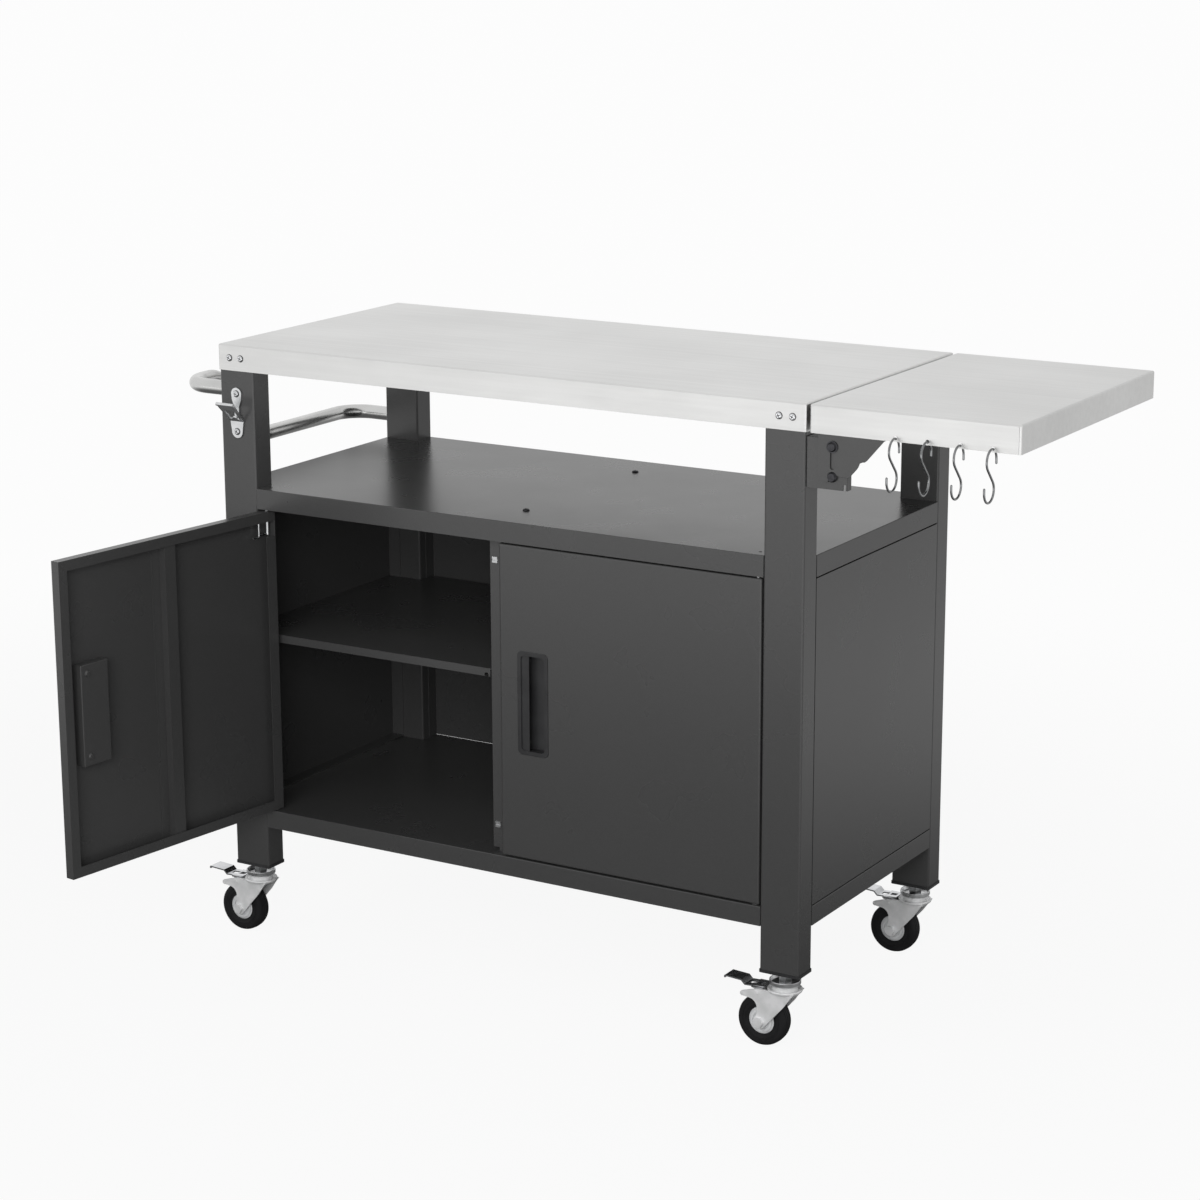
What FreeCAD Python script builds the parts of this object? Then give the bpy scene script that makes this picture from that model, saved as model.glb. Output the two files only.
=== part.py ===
import FreeCAD, Part
import math
import os
from FreeCAD import Vector, Rotation, Placement

# Grill cart with storage: stainless worktop and folding side leaf on four rectangular legs,
# a two-door cabinet below, a cranked side rail, and four swivel casters with brakes.
# Millimetres, +Z up, origin on the floor below the centre of the worktop.
# The rest state is the photographed one: left door open, right door closed, leaf up.

# Worktop and overall size
worktop_length = 960.0
worktop_depth = 457.0
overall_height = 908.0
apron_height = 38.0
steel_sheet = 1.2
fold_radius = 2.6
worktop_hem = 12.0
hem_end_gap = 6.0
hat_width = 34.0
hat_height = 18.0
hat_flange = 14.0
hat_end_gap = 0.4
worktop_hat_spacing = 320.0
leaf_hat_from_end = 112.0

# Legs and feet
leg_width = 60.0
leg_depth = 38.0
leg_wall = 1.5
leg_corner = 3.0
cap_lip = 4.0
cap_overhang = 1.2
cap_corner = 3.5
cap_plug = 16.0
cap_wall = 2.5

# Cabinet trays and walls
storage_below_top = 210.0
storage_apron = 30.0
tray_hem = 17.0
tray_fold = 1.1
bottom_height = 206.0
bottom_apron = 28.0
cabinet_sheet = 1.0
panel_gap = 2.0
panel_flange = 22.0
back_light_gap = 2.5
back_top_hem = 12.0
sight_hole_radius = 2.5
sight_hole_x = 405.0
sight_hole_y = 210.0

# Centre stile and shelf
stile_width = 50.0
stile_depth = 18.0
stile_gap = 2.5
stile_foot = 5.0
stile_neck = 30.0
stile_foot_depth = 26.0
stile_tab = 12.0
shelf_above_bottom = 267.0
shelf_lip = 12.0
shelf_setback = 28.5
shelf_gap = 1.0
lip_relief = 7.0
lip_notch_radius = 3.4
lip_notch_from_end = 6.5
support_width = 18.0

# Doors
door_thickness = 16.0
door_gap = 2.5
door_fold = 2.5
door_lip = 15.0
hinge_lip = 18.0
door_open_angle = 98.0
pin_from_leg = 11.0
pin_radius = 3.0
running_fit = 0.08
pin_reach = 4.8
pin_shoulder = 16.5
pin_neck = 2.4
lever_wire = 1.3
lever_length = 28.6
lever_arm = 17.4
lever_arm_height = 25.0
lever_drop = 37.5
lever_bend = 3.0
lever_window = 23.0
barrel_radius = 5.5
barrel_length = 12.0
barrel_foot = 8.0
collar_radius = 6.0
pin_rivet = 5.0
pin_rivet_height = 2.5
sliding_gap = 0.35
moving_gap = 0.5
stiffener_width = 20.0
stiffener_flange = 15.0

# Magnetic catches
catch_from_centre = 16.3
catch_width = 8.6
catch_height = 8.6
catch_depth = 12.0
catch_below_top = 29.0
catch_above_bottom = 37.5
pole_strip = 3.0
pole_lead = 1.0
pole_clearance = 0.4

# Recessed door pull
pull_from_edge = 29.5
pull_width = 50.0
pull_height = 151.0
pull_corner = 7.0
pull_rim = 4.5
pull_rim_proud = 1.4
pull_depth = 12.5
pull_wall = 1.5
pull_grip = 14.0
pull_grip_sunk = 0.4
pull_above_middle = 2.5
cover_width = 50.0
cover_height = 146.0
cover_extra = 1.5
cover_fold = 1.2
cover_screw_from_side = 12.0
cover_screw_from_end = 13.0

# Side rail
rail_radius = 11.0
rail_wall = 1.5
rail_reach = 81.0
rail_corner_radius = 42.0
rail_front_below_top = 69.0
rail_rear_below_top = 176.0
rail_crank_start = 96.0
rail_crank_angle = 46.0
rail_crank_radius = 45.0
rail_plug = 14.0
rail_bolt_radius = 3.0

# Bottle opener on the front left leg
opener_below_top = 99.3
opener_screw_spacing = 55.7
opener_plate = 2.5
opener_lug = 9.0
opener_foot = 9.5
opener_waist = 12.5
opener_neck = 4.0
opener_neck_above = 8.0
opener_neck_below = 6.0
opener_root_below = 11.0
opener_leg = 4.5
opener_tooth = 4.0
window_foot = 5.0
window_sill = 6.0
window_bulge = 1.5
window_shoulder = 16.0
window_head = 12.0
window_taper = 2.0
opener_reach = 30.0
opener_rise = 28.0
opener_lip_width = 31.0
opener_lip_radius = 2.6

# Side leaf and its brackets, measured from the pivot screw where they meet it
leaf_length = 296.0
leaf_gap = 5.0
leaf_lip = 19.0
leaf_lip_length = 112.0
corner_seam = 1.0
bracket_sheet = 2.0
pivot_from_top_end = 37.8
pivot_below_apron = 15.7
slot_travel = 27.0
stop_below_pivot = 40.0
stop_clearance = 1.3
plate_edge = 20.9
plate_below_pivot = 47.7
plate_corner = 10.0
plate_flange = 17.0
plate_reach = 73.0
plate_foot = ((6.5, 1.3), (19.7, 1.0))
plate_rise = ((-0.5, 0.8), (1.7, 4.5, "arc"))
plate_step = ((-1.2, 8.3), (2.0, 10.1, "arc"), (6.1, 10.9), (9.2, 13.2))
web_above_pivot = 9.9
web_below_pivot = 57.4
web_right = 20.9
web_lip = 12.0
web_flange = 32.0
web_relief = 4.0
bracket_screw_inset = 12.0
screw_radius = 3.0
screw_past_nut = 1.5
pivot_washer = 8.0
washer_thick = 1.2
pivot_head = 6.5
pivot_head_height = 2.8
pivot_nut_height = 5.0
stop_head = 7.0
stop_head_height = 3.2
stop_nut_height = 4.5
rivet_radius = 2.4
rivet_head = 1.4

# Hooks
hook_count = 4
hook_spacing = 45.0
first_hook_from_leaf_end = 122.5
hook_hole_radius = 2.6
hook_hole_above_edge = 4.6
hook_wire = 1.5
hook_loop = 15.0
hook_height = 68.0
hook_tail = 5.0
hook_lean = 5.6
hook_offset = 2.8

# Casters
wheel_radius = 37.5
wheel_width = 24.0
tyre_inner = 19.5
hub_face = 17.0
hub_width = 27.0
trail = 31.0
fork_gap = 15.0
fork_plate = 2.5
fork_above_wheel = 11.0
race_radius = 22.0
race_height = 8.0
race_gap = 0.6
caster_nut = 10.0
nut_across = 17.0
fork_end_radius = 10.0
fork_front = ((-1.0, 0.0), (-5.0, -5.0), (-10.0, -12.0, "arc"), (-15.5, -20.0))
fork_throat = ((0.0, 1.0), (5.5, 10.0, "arc"), (6.4, 18.5), (2.2, 29.5, "arc"), (-7.0, 33.0))
fork_horn = ((-15.5, 34.0), (-20.0, 37.5, "arc"), (-17.5, 40.8))
fork_crest = ((-8.0, -4.6), (4.0, -1.2), (18.0, 0.0))
axle_head = 13.0
axle_head_height = 4.5
axle_nut_height = 5.5
axle_radius = 4.0
stem_radius = 5.0
pedal_pivot_x = 36.0
pedal_pivot_below_fork = 6.5
pedal_ear_gap = 0.4
pedal_sheet = 2.0
pedal_width = 24.0
pedal_above_fork = 2.5
pedal_step = 57.0
pedal_rise = 5.5
pedal_fall = 1.5
pedal_tip = 89.0
pedal_curl = 4.0
pedal_race_gap = 0.8
pedal_wing = 9.0
pedal_slots = ((4.0, 15.0), (18.0, 28.0))
pedal_slot = 4.5
pedal_rivet = 2.5
pedal_ear_wall = 2.0
rim_radius = 24.5
rim_section = ((-3.0, -2.5), (-0.4, -0.8, "arc"), (0.0, 1.5), (-0.9, 2.6, "arc"), (-2.2, 2.2), (-4.0, 0.6),
               (-6.5, 1.0))
cup_floor = 2.4
cup_wall = 3.5
cup_edge = 1.5
stem_rivet = 8.5
tyre_flank = ((0.0, 2.0), (4.0, 1.2), (5.5, 0.0))
tyre_shoulder = ((-6.0, 0.0), (-1.6, 2.4, "arc"), (-0.4, 7.0))
hub_boss = 8.0
hub_section = ((-8.0, 0.6), (-1.5, 0.2), (0.0, 2.0), (2.5, 3.0))

# Fasteners
screw_length = 4.0
opener_screw_length = 6.0
flange_screw_length = 5.0
pan_head = 4.6
pan_height = 2.6
pan_shank = 2.0
small_nut = 10.0
rail_head_height = 4.0
top_screw_from_end = 20.0
top_screw_pitch = 20.0
top_screw_down = 19.5
surface_screw_spread = 152.5
through = 5.0
tiny = 1e-6

# Places that follow from the sizes above
half_length = worktop_length / 2
half_depth = worktop_depth / 2
leg_face_x = half_length - steel_sheet
leg_face_y = half_depth - steel_sheet
leg_x = leg_face_x - leg_width / 2
leg_y = leg_face_y - leg_depth / 2
leg_inner_x = leg_face_x - leg_width
leg_inner_y = leg_face_y - leg_depth
sheet_under_top = overall_height - steel_sheet
leg_top = overall_height - fold_radius
apron_bottom = overall_height - apron_height
storage_top_height = overall_height - storage_below_top
shelf_height = bottom_height + shelf_above_bottom
door_top = storage_top_height - storage_apron - door_gap
door_bottom = bottom_height + door_gap
door_width = leg_inner_x - 1.5 * door_gap
door_middle = (door_top + door_bottom) / 2
pin_x = leg_inner_x - pin_from_leg
pin_y = -leg_face_y + door_thickness / 2
stile_front = -leg_face_y + door_thickness + stile_gap
stile_back = stile_front + stile_depth
pivot_x = half_length + pivot_from_top_end
pivot_z = apron_bottom - pivot_below_apron
plate_front = -half_depth + steel_sheet
web_front = plate_front + bracket_sheet + moving_gap
leaf_left = half_length + leaf_gap
fork_top = 2 * wheel_radius + fork_above_wheel
pedal_pivot_z = fork_top - pedal_pivot_below_fork
race_top = fork_top + 2 * race_height
cap_bottom = race_top + caster_nut
leg_bottom = cap_bottom + cap_lip

corners = {(-1, -1): "front_left", (1, -1): "front_right", (-1, 1): "rear_left", (1, 1): "rear_right"}
pieces = {}


def keep(name, *shapes):
    """Files the solids of one sub-part under its name."""
    solids = []
    for shape in shapes:
        solids.extend(shape.Solids)
    pieces[name] = Part.makeCompound(solids) if len(solids) > 1 else solids[0]


def block(x0, x1, y0, y1, z0, z1):
    return Part.makeBox(x1 - x0, y1 - y0, z1 - z0, Vector(x0, y0, z0))


def rod(radius, start, end):
    start = Vector(*start)
    direction = Vector(*end) - start
    return Part.makeCylinder(radius, direction.Length, start, direction)


def mirrored(shape, axis):
    return shape.mirror(Vector(0, 0, 0), axis)


X_AXIS = Vector(1, 0, 0)
Y_AXIS = Vector(0, 1, 0)
Z_AXIS = Vector(0, 0, 1)


def drill(radius, point, axis, reach=through):
    """A cutter along axis that runs past both faces of the sheet at point."""
    return Part.makeCylinder(radius, 2 * reach, Vector(*point) - axis * reach, axis)


def shifted(points, x, z):
    """Profile points moved by x and z, their arc marks kept."""
    return [(p[0] + x, p[1] + z) + tuple(p[2:]) for p in points]


def rounded_block(x0, x1, y0, y1, z0, z1, radius, upright=True, top=False):
    """A block with its upright edges rounded, and its top edges too when asked."""
    shape = block(x0, x1, y0, y1, z0, z1)
    chosen = []
    for edge in shape.Edges:
        box = edge.BoundBox
        if upright and box.ZLength > tiny:
            chosen.append(edge)
        if top and box.ZLength < tiny and abs(box.ZMax - z1) < tiny:
            chosen.append(edge)
    return shape.makeFillet(radius, chosen)


def prism(points, y0, y1):
    """A closed outline in X and Z, carried from y0 to y1; a 3-item entry is an arc's middle."""
    wire = outline_wire([(p[0], y0, p[1]) + tuple(p[2:]) for p in points])
    return Part.Face(wire).extrude(Vector(0, y1 - y0, 0))


def bent_path(points, radii):
    """Straight runs through the points, joined by tangent arcs of the given radii."""
    points = [Vector(*p) for p in points]
    edges = []
    last = points[0]
    for index in range(1, len(points) - 1):
        before = (points[index - 1] - points[index]).normalize()
        after = (points[index + 1] - points[index]).normalize()
        half = before.getAngle(after) / 2
        radius = radii[index - 1]
        cut = radius / math.tan(half)
        start = points[index] + before * cut
        end = points[index] + after * cut
        inward = (before + after).normalize()
        centre = points[index] + inward * (radius / math.sin(half))
        edges.append(Part.makeLine(last, start))
        edges.append(Part.Arc(start, centre - inward * radius, end).toShape())
        last = end
    edges.append(Part.makeLine(last, points[-1]))
    return Part.Wire(edges)


def pipe(path, radius):
    """A round bar along a path of runs and arcs."""
    edge = path.OrderedEdges[0]
    start = edge.valueAt(edge.FirstParameter)
    along = edge.tangentAt(edge.FirstParameter)
    if (start - path.OrderedVertexes[0].Point).Length > tiny:
        start = edge.valueAt(edge.LastParameter)
        along = edge.tangentAt(edge.LastParameter) * -1
    section = Part.Wire([Part.makeCircle(radius, start, along)])
    return path.makePipeShell([section], True, False)


def pan_screw(point, outward, length=screw_length):
    """A pan-head screw: head on the surface at point, shank running inwards."""
    point = Vector(*point)
    outward = Vector(*outward)
    head = Part.makeCone(pan_head, pan_head * 0.7, pan_height, point, outward)
    shank = Part.makeCylinder(pan_shank, length, point - outward * length, outward)
    return head.fuse(shank).removeSplitter()


def hexagon(across, height, base, axis):
    """A hexagonal head or nut standing on base along axis."""
    corner = across / math.sqrt(3)
    turns = [math.radians(60 * k) for k in range(6)]
    corners = [Vector(corner * math.cos(turn), corner * math.sin(turn), 0) for turn in turns]
    face = Part.Face(Part.makePolygon(corners + corners[:1]))
    shape = face.extrude(Vector(0, 0, height))
    shape.Placement = Placement(Vector(*base), Rotation(Vector(0, 0, 1), Vector(*axis)))
    return shape


def tray(x0, x1, y0, y1, top, apron, sheet):
    """A folded sheet tray seen from above: flat top, aprons turned down on four sides."""
    outer = rounded_block(x0, x1, y0, y1, top - apron, top, fold_radius, True, True)
    inner = rounded_block(x0 + sheet, x1 - sheet, y0 + sheet, y1 - sheet, top - 2 * apron, top - sheet,
                          fold_radius - sheet, True, True)
    return outer.cut(inner)


def hat_channel(length, width, height, flange, sheet):
    """A hat-section stiffener along Y from 0, its two flanges at z = 0 and its crown below."""
    half = width / 2
    outline = [(-half - flange, 0), (-half, 0), (-half + sheet, 0), (-half + sheet, -height + sheet),
               (half - sheet, -height + sheet), (half - sheet, 0), (half + flange, 0),
               (half + flange, -sheet), (half, -sheet), (half, -height), (-half, -height),
               (-half, -sheet), (-half - flange, -sheet)]
    return prism(outline, 0, length)


def worktop():
    shell = tray(-half_length, half_length, -half_depth, half_depth, overall_height, apron_height,
                 steel_sheet)
    hem_x = leg_inner_x - hem_end_gap
    hem_y = leg_inner_y - hem_end_gap
    hem_top = apron_bottom + steel_sheet
    for sign in (-1, 1):
        near = sorted((sign * leg_face_y, sign * (leg_face_y - worktop_hem)))
        side = sorted((sign * leg_face_x, sign * (leg_face_x - worktop_hem)))
        shell = shell.fuse(block(-hem_x, hem_x, near[0], near[1], apron_bottom, hem_top))
        shell = shell.fuse(block(side[0], side[1], -hem_y, hem_y, apron_bottom, hem_top))
    for point in top_screw_points():
        shell = shell.cut(drill(pan_shank, point, Y_AXIS))
    keep("worktop", shell.removeSplitter())


def top_screw_points():
    places = []
    for side in (-1, 1):
        for step in range(2):
            x = side * (half_length - top_screw_from_end - step * top_screw_pitch)
            for y in (-half_depth, half_depth):
                places.append((x, y, overall_height - top_screw_down))
    return places


def top_hat():
    """A hat section across the underside of a top, clear of the folds of its aprons."""
    reach = half_depth - fold_radius - hat_end_gap
    hat = hat_channel(2 * reach, hat_width, hat_height, hat_flange, steel_sheet)
    hat.translate(Vector(0, -reach, sheet_under_top))
    return hat


def worktop_stiffeners():
    hats = []
    for x in (-worktop_hat_spacing / 2, worktop_hat_spacing / 2):
        hat = top_hat()
        hat.translate(Vector(x, 0, 0))
        hats.append(hat)
    keep("worktop_stiffeners", *hats)


def leg_tube(x, y):
    outer = rounded_block(x - leg_width / 2, x + leg_width / 2, y - leg_depth / 2, y + leg_depth / 2,
                          leg_bottom, leg_top, leg_corner)
    wall = leg_wall
    bore = rounded_block(x - leg_width / 2 + wall, x + leg_width / 2 - wall, y - leg_depth / 2 + wall,
                         y + leg_depth / 2 - wall, leg_bottom - 1, leg_top + 1, leg_corner - wall)
    return outer.cut(bore)


def legs():
    for (sx, sy), name in corners.items():
        tube = leg_tube(sx * leg_x, sy * leg_y)
        for point in top_screw_points():
            if point[0] * sx > 0 and point[1] * sy > 0:
                tube = tube.cut(drill(pan_shank, point, Y_AXIS))
        if name == "front_left":
            for z in opener_screws_z():
                tube = tube.cut(drill(pan_shank, (-leg_x, -leg_face_y, z), Y_AXIS))
        if sx < 0:
            z = rail_ends_z()[(sy + 1) // 2]
            tube = tube.cut(drill(rail_bolt_radius, (-leg_face_x, sy * leg_y, z), X_AXIS))
        if sx > 0:
            for z in leg_flange_screws_z():
                tube = tube.cut(drill(pan_shank, (leg_face_x, sy * leg_y, z), X_AXIS))
        keep("leg_" + name, tube)


def leg_end_caps():
    caps = []
    for sx in (-1, 1):
        for sy in (-1, 1):
            x, y = sx * leg_x, sy * leg_y
            half_w = leg_width / 2 + cap_overhang
            half_d = leg_depth / 2 + cap_overhang
            lip = rounded_block(x - half_w, x + half_w, y - half_d, y + half_d, cap_bottom, leg_bottom,
                                cap_corner)
            plug_w = leg_width / 2 - leg_wall
            plug_d = leg_depth / 2 - leg_wall
            plug = rounded_block(x - plug_w, x + plug_w, y - plug_d, y + plug_d, leg_bottom,
                                 leg_bottom + cap_plug, leg_corner - leg_wall)
            pocket = block(x - plug_w + cap_wall, x + plug_w - cap_wall, y - plug_d + cap_wall,
                           y + plug_d - cap_wall, leg_bottom + 1, leg_bottom + cap_plug + 1)
            boss = rod(stem_radius + cap_wall + 1, (x, y, leg_bottom), (x, y, leg_bottom + cap_plug))
            cap = lip.fuse(plug.cut(pocket)).fuse(boss)
            cap = cap.cut(rod(stem_radius, (x, y, cap_bottom - 1), (x, y, leg_bottom + cap_plug + 1)))
            caps.append(cap)
    keep("leg_end_caps", *caps)


def notched_tray(top, apron):
    """A cabinet tray that fills the frame, with its corners cut out round the four legs."""
    sheet = steel_sheet
    hem = tray_hem
    low = top - apron
    flat = block(-leg_face_x, leg_face_x, -leg_face_y, leg_face_y, top - sheet, top)
    for sx in (-1, 1):
        for sy in (-1, 1):
            corner_x = sorted((sx * leg_inner_x, sx * (leg_face_x + 1)))
            corner_y = sorted((sy * leg_inner_y, sy * (leg_face_y + 1)))
            flat = flat.cut(block(*corner_x, *corner_y, top - through, top + through))
    body = flat
    for sign in (-1, 1):
        face = sorted((sign * leg_face_y, sign * (leg_face_y - sheet)))
        lip = sorted((sign * leg_face_y, sign * (leg_face_y - hem)))
        body = body.fuse(block(-leg_inner_x, leg_inner_x, *face, low, top))
        body = body.fuse(block(-leg_inner_x, leg_inner_x, *lip, low, low + sheet))
        side = sorted((sign * leg_face_x, sign * (leg_face_x - sheet)))
        rim = sorted((sign * leg_face_x, sign * (leg_face_x - hem)))
        body = body.fuse(block(*side, -leg_inner_y, leg_inner_y, low, top))
        body = body.fuse(block(*rim, -leg_inner_y, leg_inner_y, low, low + sheet))
    body = body.removeSplitter()
    return body.makeFillet(tray_fold, [edge for edge in body.Edges if is_tray_fold(edge.BoundBox, top)])


def is_tray_fold(box, top):
    """Whether an edge's box is one of the four long upper edges of a tray's aprons."""
    long_x = box.XLength > leg_width and abs(abs(box.YMin) - leg_face_y) < tiny
    long_y = box.YLength > leg_width and abs(abs(box.XMin) - leg_face_x) < tiny
    straight = box.XLength < tiny or box.YLength < tiny
    return abs(box.ZMin - top) < tiny and straight and (long_x or long_y)


def storage_top():
    body = notched_tray(storage_top_height, storage_apron)
    under = storage_top_height - storage_apron
    for sign in (-1, 1):
        body = body.cut(drill(pin_radius + running_fit, (sign * pin_x, pin_y, under), Z_AXIS))
        sight = (sign * sight_hole_x, -sight_hole_y, storage_top_height)
        body = body.cut(drill(sight_hole_radius, sight, Z_AXIS))
    for y in (-surface_screw_spread, surface_screw_spread):
        body = body.cut(drill(pan_shank, (0, y, storage_top_height), Z_AXIS))
    keep("storage_top", body)


def storage_top_stiffener():
    under = storage_top_height - steel_sheet
    length = 2 * (leg_face_y - tray_hem - steel_sheet - hat_end_gap)
    hat = hat_channel(length, hat_width, hat_height, hat_flange, steel_sheet)
    hat.translate(Vector(0, -length / 2, under))
    for y in (-surface_screw_spread, surface_screw_spread):
        hat = hat.cut(drill(pan_shank, (0, y, under), Z_AXIS, hat_height + through))
    keep("storage_top_stiffener", hat)


def bottom_panel():
    body = notched_tray(bottom_height, bottom_apron)
    for sign in (-1, 1):
        body = body.cut(drill(pin_radius + running_fit, (sign * pin_x, pin_y, bottom_height), Z_AXIS))
    keep("bottom_panel", body)


def side_panel(sign):
    """A folded wall between two legs, with flanges turned in against them."""
    top = storage_top_height - storage_apron
    wall = cabinet_sheet
    outer = sign * leg_face_x
    skin = sorted((outer, outer - sign * wall))
    flange = sorted((outer, outer - sign * panel_flange))
    edge = leg_inner_y
    low = bottom_height + panel_gap
    high = top - panel_gap
    body = block(*skin, -edge, edge, low, high)
    for y in (-edge, edge - wall):
        body = body.fuse(block(*flange, y, y + wall, low, high))
    for z in (low, high - wall):
        body = body.fuse(block(*flange, -edge, edge, z, z + wall))
    return body.removeSplitter()


def side_panels():
    keep("side_panel_left", side_panel(-1))
    keep("side_panel_right", side_panel(1))


def back_panel():
    """The rear wall, with flanges turned forward along the rear legs and a slot of light below it."""
    low = bottom_height + back_light_gap
    high = storage_top_height - storage_apron - panel_gap
    wall = cabinet_sheet
    body = block(-leg_inner_x, leg_inner_x, leg_face_y - wall, leg_face_y, low, high)
    for x in (-leg_inner_x, leg_inner_x - wall):
        body = body.fuse(block(x, x + wall, leg_face_y - panel_flange, leg_face_y, low, high))
    hem_y = leg_face_y - back_top_hem
    body = body.fuse(block(-leg_inner_x, leg_inner_x, hem_y, leg_face_y, high - wall, high))
    keep("back_panel", body.removeSplitter())


def catch_places():
    heights = (door_top - catch_below_top, door_bottom + catch_above_bottom)
    return [(side * catch_from_centre, z) for side in (-1, 1) for z in heights]


def centre_stile():
    """A channel behind the doors' meeting edges, with a foot turned back on the cabinet floor."""
    wall = steel_sheet
    half = stile_width / 2
    neck = stile_neck / 2
    low = bottom_height + stile_foot
    high = storage_top_height - storage_apron
    body = block(-half, half, stile_front, stile_front + wall, low, high)
    for x in (-half, half - wall):
        body = body.fuse(block(x, x + wall, stile_front, stile_back, low, high))
    body = body.fuse(block(-neck, neck, stile_front, stile_front + wall, bottom_height, high))
    foot_back = stile_front + stile_foot_depth
    body = body.fuse(block(-neck, neck, stile_front, foot_back, bottom_height, bottom_height + wall))
    hem_edge = -leg_face_y + tray_hem
    body = body.fuse(block(-neck, neck, hem_edge, stile_front + wall, high - wall, high))
    body = body.fuse(block(-neck, neck, hem_edge, hem_edge + wall, high - wall, high + stile_tab))
    for x, z in catch_places():
        body = body.cut(block(x - catch_width / 2, x + catch_width / 2, stile_front - through,
                              stile_front + through, z - catch_height / 2, z + catch_height / 2))
    keep("centre_stile", body.removeSplitter())


def door_catches():
    """Magnets let into the stile, each between two steel pole strips that meet the door's lip."""
    catches = []
    front = stile_front - stile_gap + pole_clearance
    half_w = catch_width / 2
    half_h = catch_height / 2
    for x, z in catch_places():
        sides = (x - half_w, x + half_w)
        body = block(*sides, front + pole_lead, front + catch_depth, z - half_h, z + half_h)
        for strip in (z - half_h, z + half_h - pole_strip):
            body = body.fuse(block(*sides, front, front + 2 * pole_lead, strip, strip + pole_strip))
        catches.append(body)
    keep("door_catches", *catches)


def shelf():
    """The inner shelf: corners cut out round the legs, front edge cut back round the stile."""
    side = leg_face_x - cabinet_sheet - shelf_gap
    front = -half_depth + shelf_setback
    back = leg_face_y - back_top_hem - shelf_gap
    wall = steel_sheet
    low = shelf_height - shelf_lip
    corner_x = leg_inner_x - shelf_gap
    corner_y = leg_inner_y - cabinet_sheet - shelf_gap
    stile_x = stile_width / 2 + shelf_gap
    body = block(-side, side, -corner_y, corner_y, shelf_height - wall, shelf_height)
    body = body.fuse(block(-corner_x, corner_x, front, back, shelf_height - wall, shelf_height))
    body = body.fuse(block(-corner_x, corner_x, back - wall, back, low, shelf_height))
    for x0, x1 in ((-corner_x, -stile_x - lip_relief), (stile_x + lip_relief, corner_x)):
        body = body.fuse(block(x0, x1, front, front + wall, low, shelf_height))
        body = body.fuse(block(x0, x1, front, front + shelf_lip, low, low + wall))
    body = body.cut(block(-stile_x, stile_x, front - through, stile_back + shelf_gap, low - through,
                          shelf_height + through))
    notch_x = stile_x + lip_relief + lip_notch_from_end
    notch_z = low + lip_notch_radius - wall
    for x in (-notch_x, notch_x):
        body = body.cut(drill(lip_notch_radius, (x, front, notch_z), Y_AXIS, shelf_lip + through))
    keep("inner_shelf", body.removeSplitter())


def shelf_supports():
    """Angle rails on the side walls that carry the shelf's ends."""
    wall = steel_sheet
    reach = leg_inner_y - cabinet_sheet - 2 * shelf_gap
    under = shelf_height - wall
    inner = leg_face_x - cabinet_sheet
    rail = block(inner - support_width, inner, -reach, reach, under - wall, under)
    rail = rail.fuse(block(inner - wall, inner, -reach, reach, under - support_width, under))
    rail = rail.removeSplitter()
    keep("shelf_supports", rail, mirrored(rail, X_AXIS))


def rail_ends_z():
    return overall_height - rail_front_below_top, overall_height - rail_rear_below_top


def side_rail():
    """One bent tube: out from the front leg, back, down a crank, and in to the rear leg."""
    wall_x = -leg_face_x
    out_x = wall_x - rail_reach
    front_z, rear_z = rail_ends_z()
    crank_run = (front_z - rear_z) / math.tan(math.radians(rail_crank_angle))
    crank_y = -leg_face_y + rail_crank_start
    route = [(wall_x, -leg_y, front_z), (out_x, -leg_y, front_z), (out_x, crank_y, front_z),
             (out_x, crank_y + crank_run, rear_z), (out_x, leg_y, rear_z), (wall_x, leg_y, rear_z)]
    radii = [rail_corner_radius, rail_crank_radius, rail_crank_radius, rail_corner_radius]
    path = bent_path(route, radii)
    tube = pipe(path, rail_radius).cut(pipe(path, rail_radius - rail_wall))
    keep("side_rail", tube)
    fixings = []
    for y, z in ((-leg_y, front_z), (leg_y, rear_z)):
        inside = wall_x + leg_wall
        plug = rod(rail_radius - rail_wall - running_fit, (wall_x, y, z), (wall_x - rail_plug, y, z))
        bolt = rod(rail_bolt_radius, (wall_x - rail_plug, y, z), (inside, y, z))
        head = hexagon(small_nut, rail_head_height, (inside, y, z), (1, 0, 0))
        fixings.append(plug.fuse(bolt).fuse(head).removeSplitter())
    keep("rail_bolts", *fixings)


def opener_screws_z():
    middle = overall_height - opener_below_top
    return (middle - opener_screw_spacing / 2, middle + opener_screw_spacing / 2)


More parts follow.
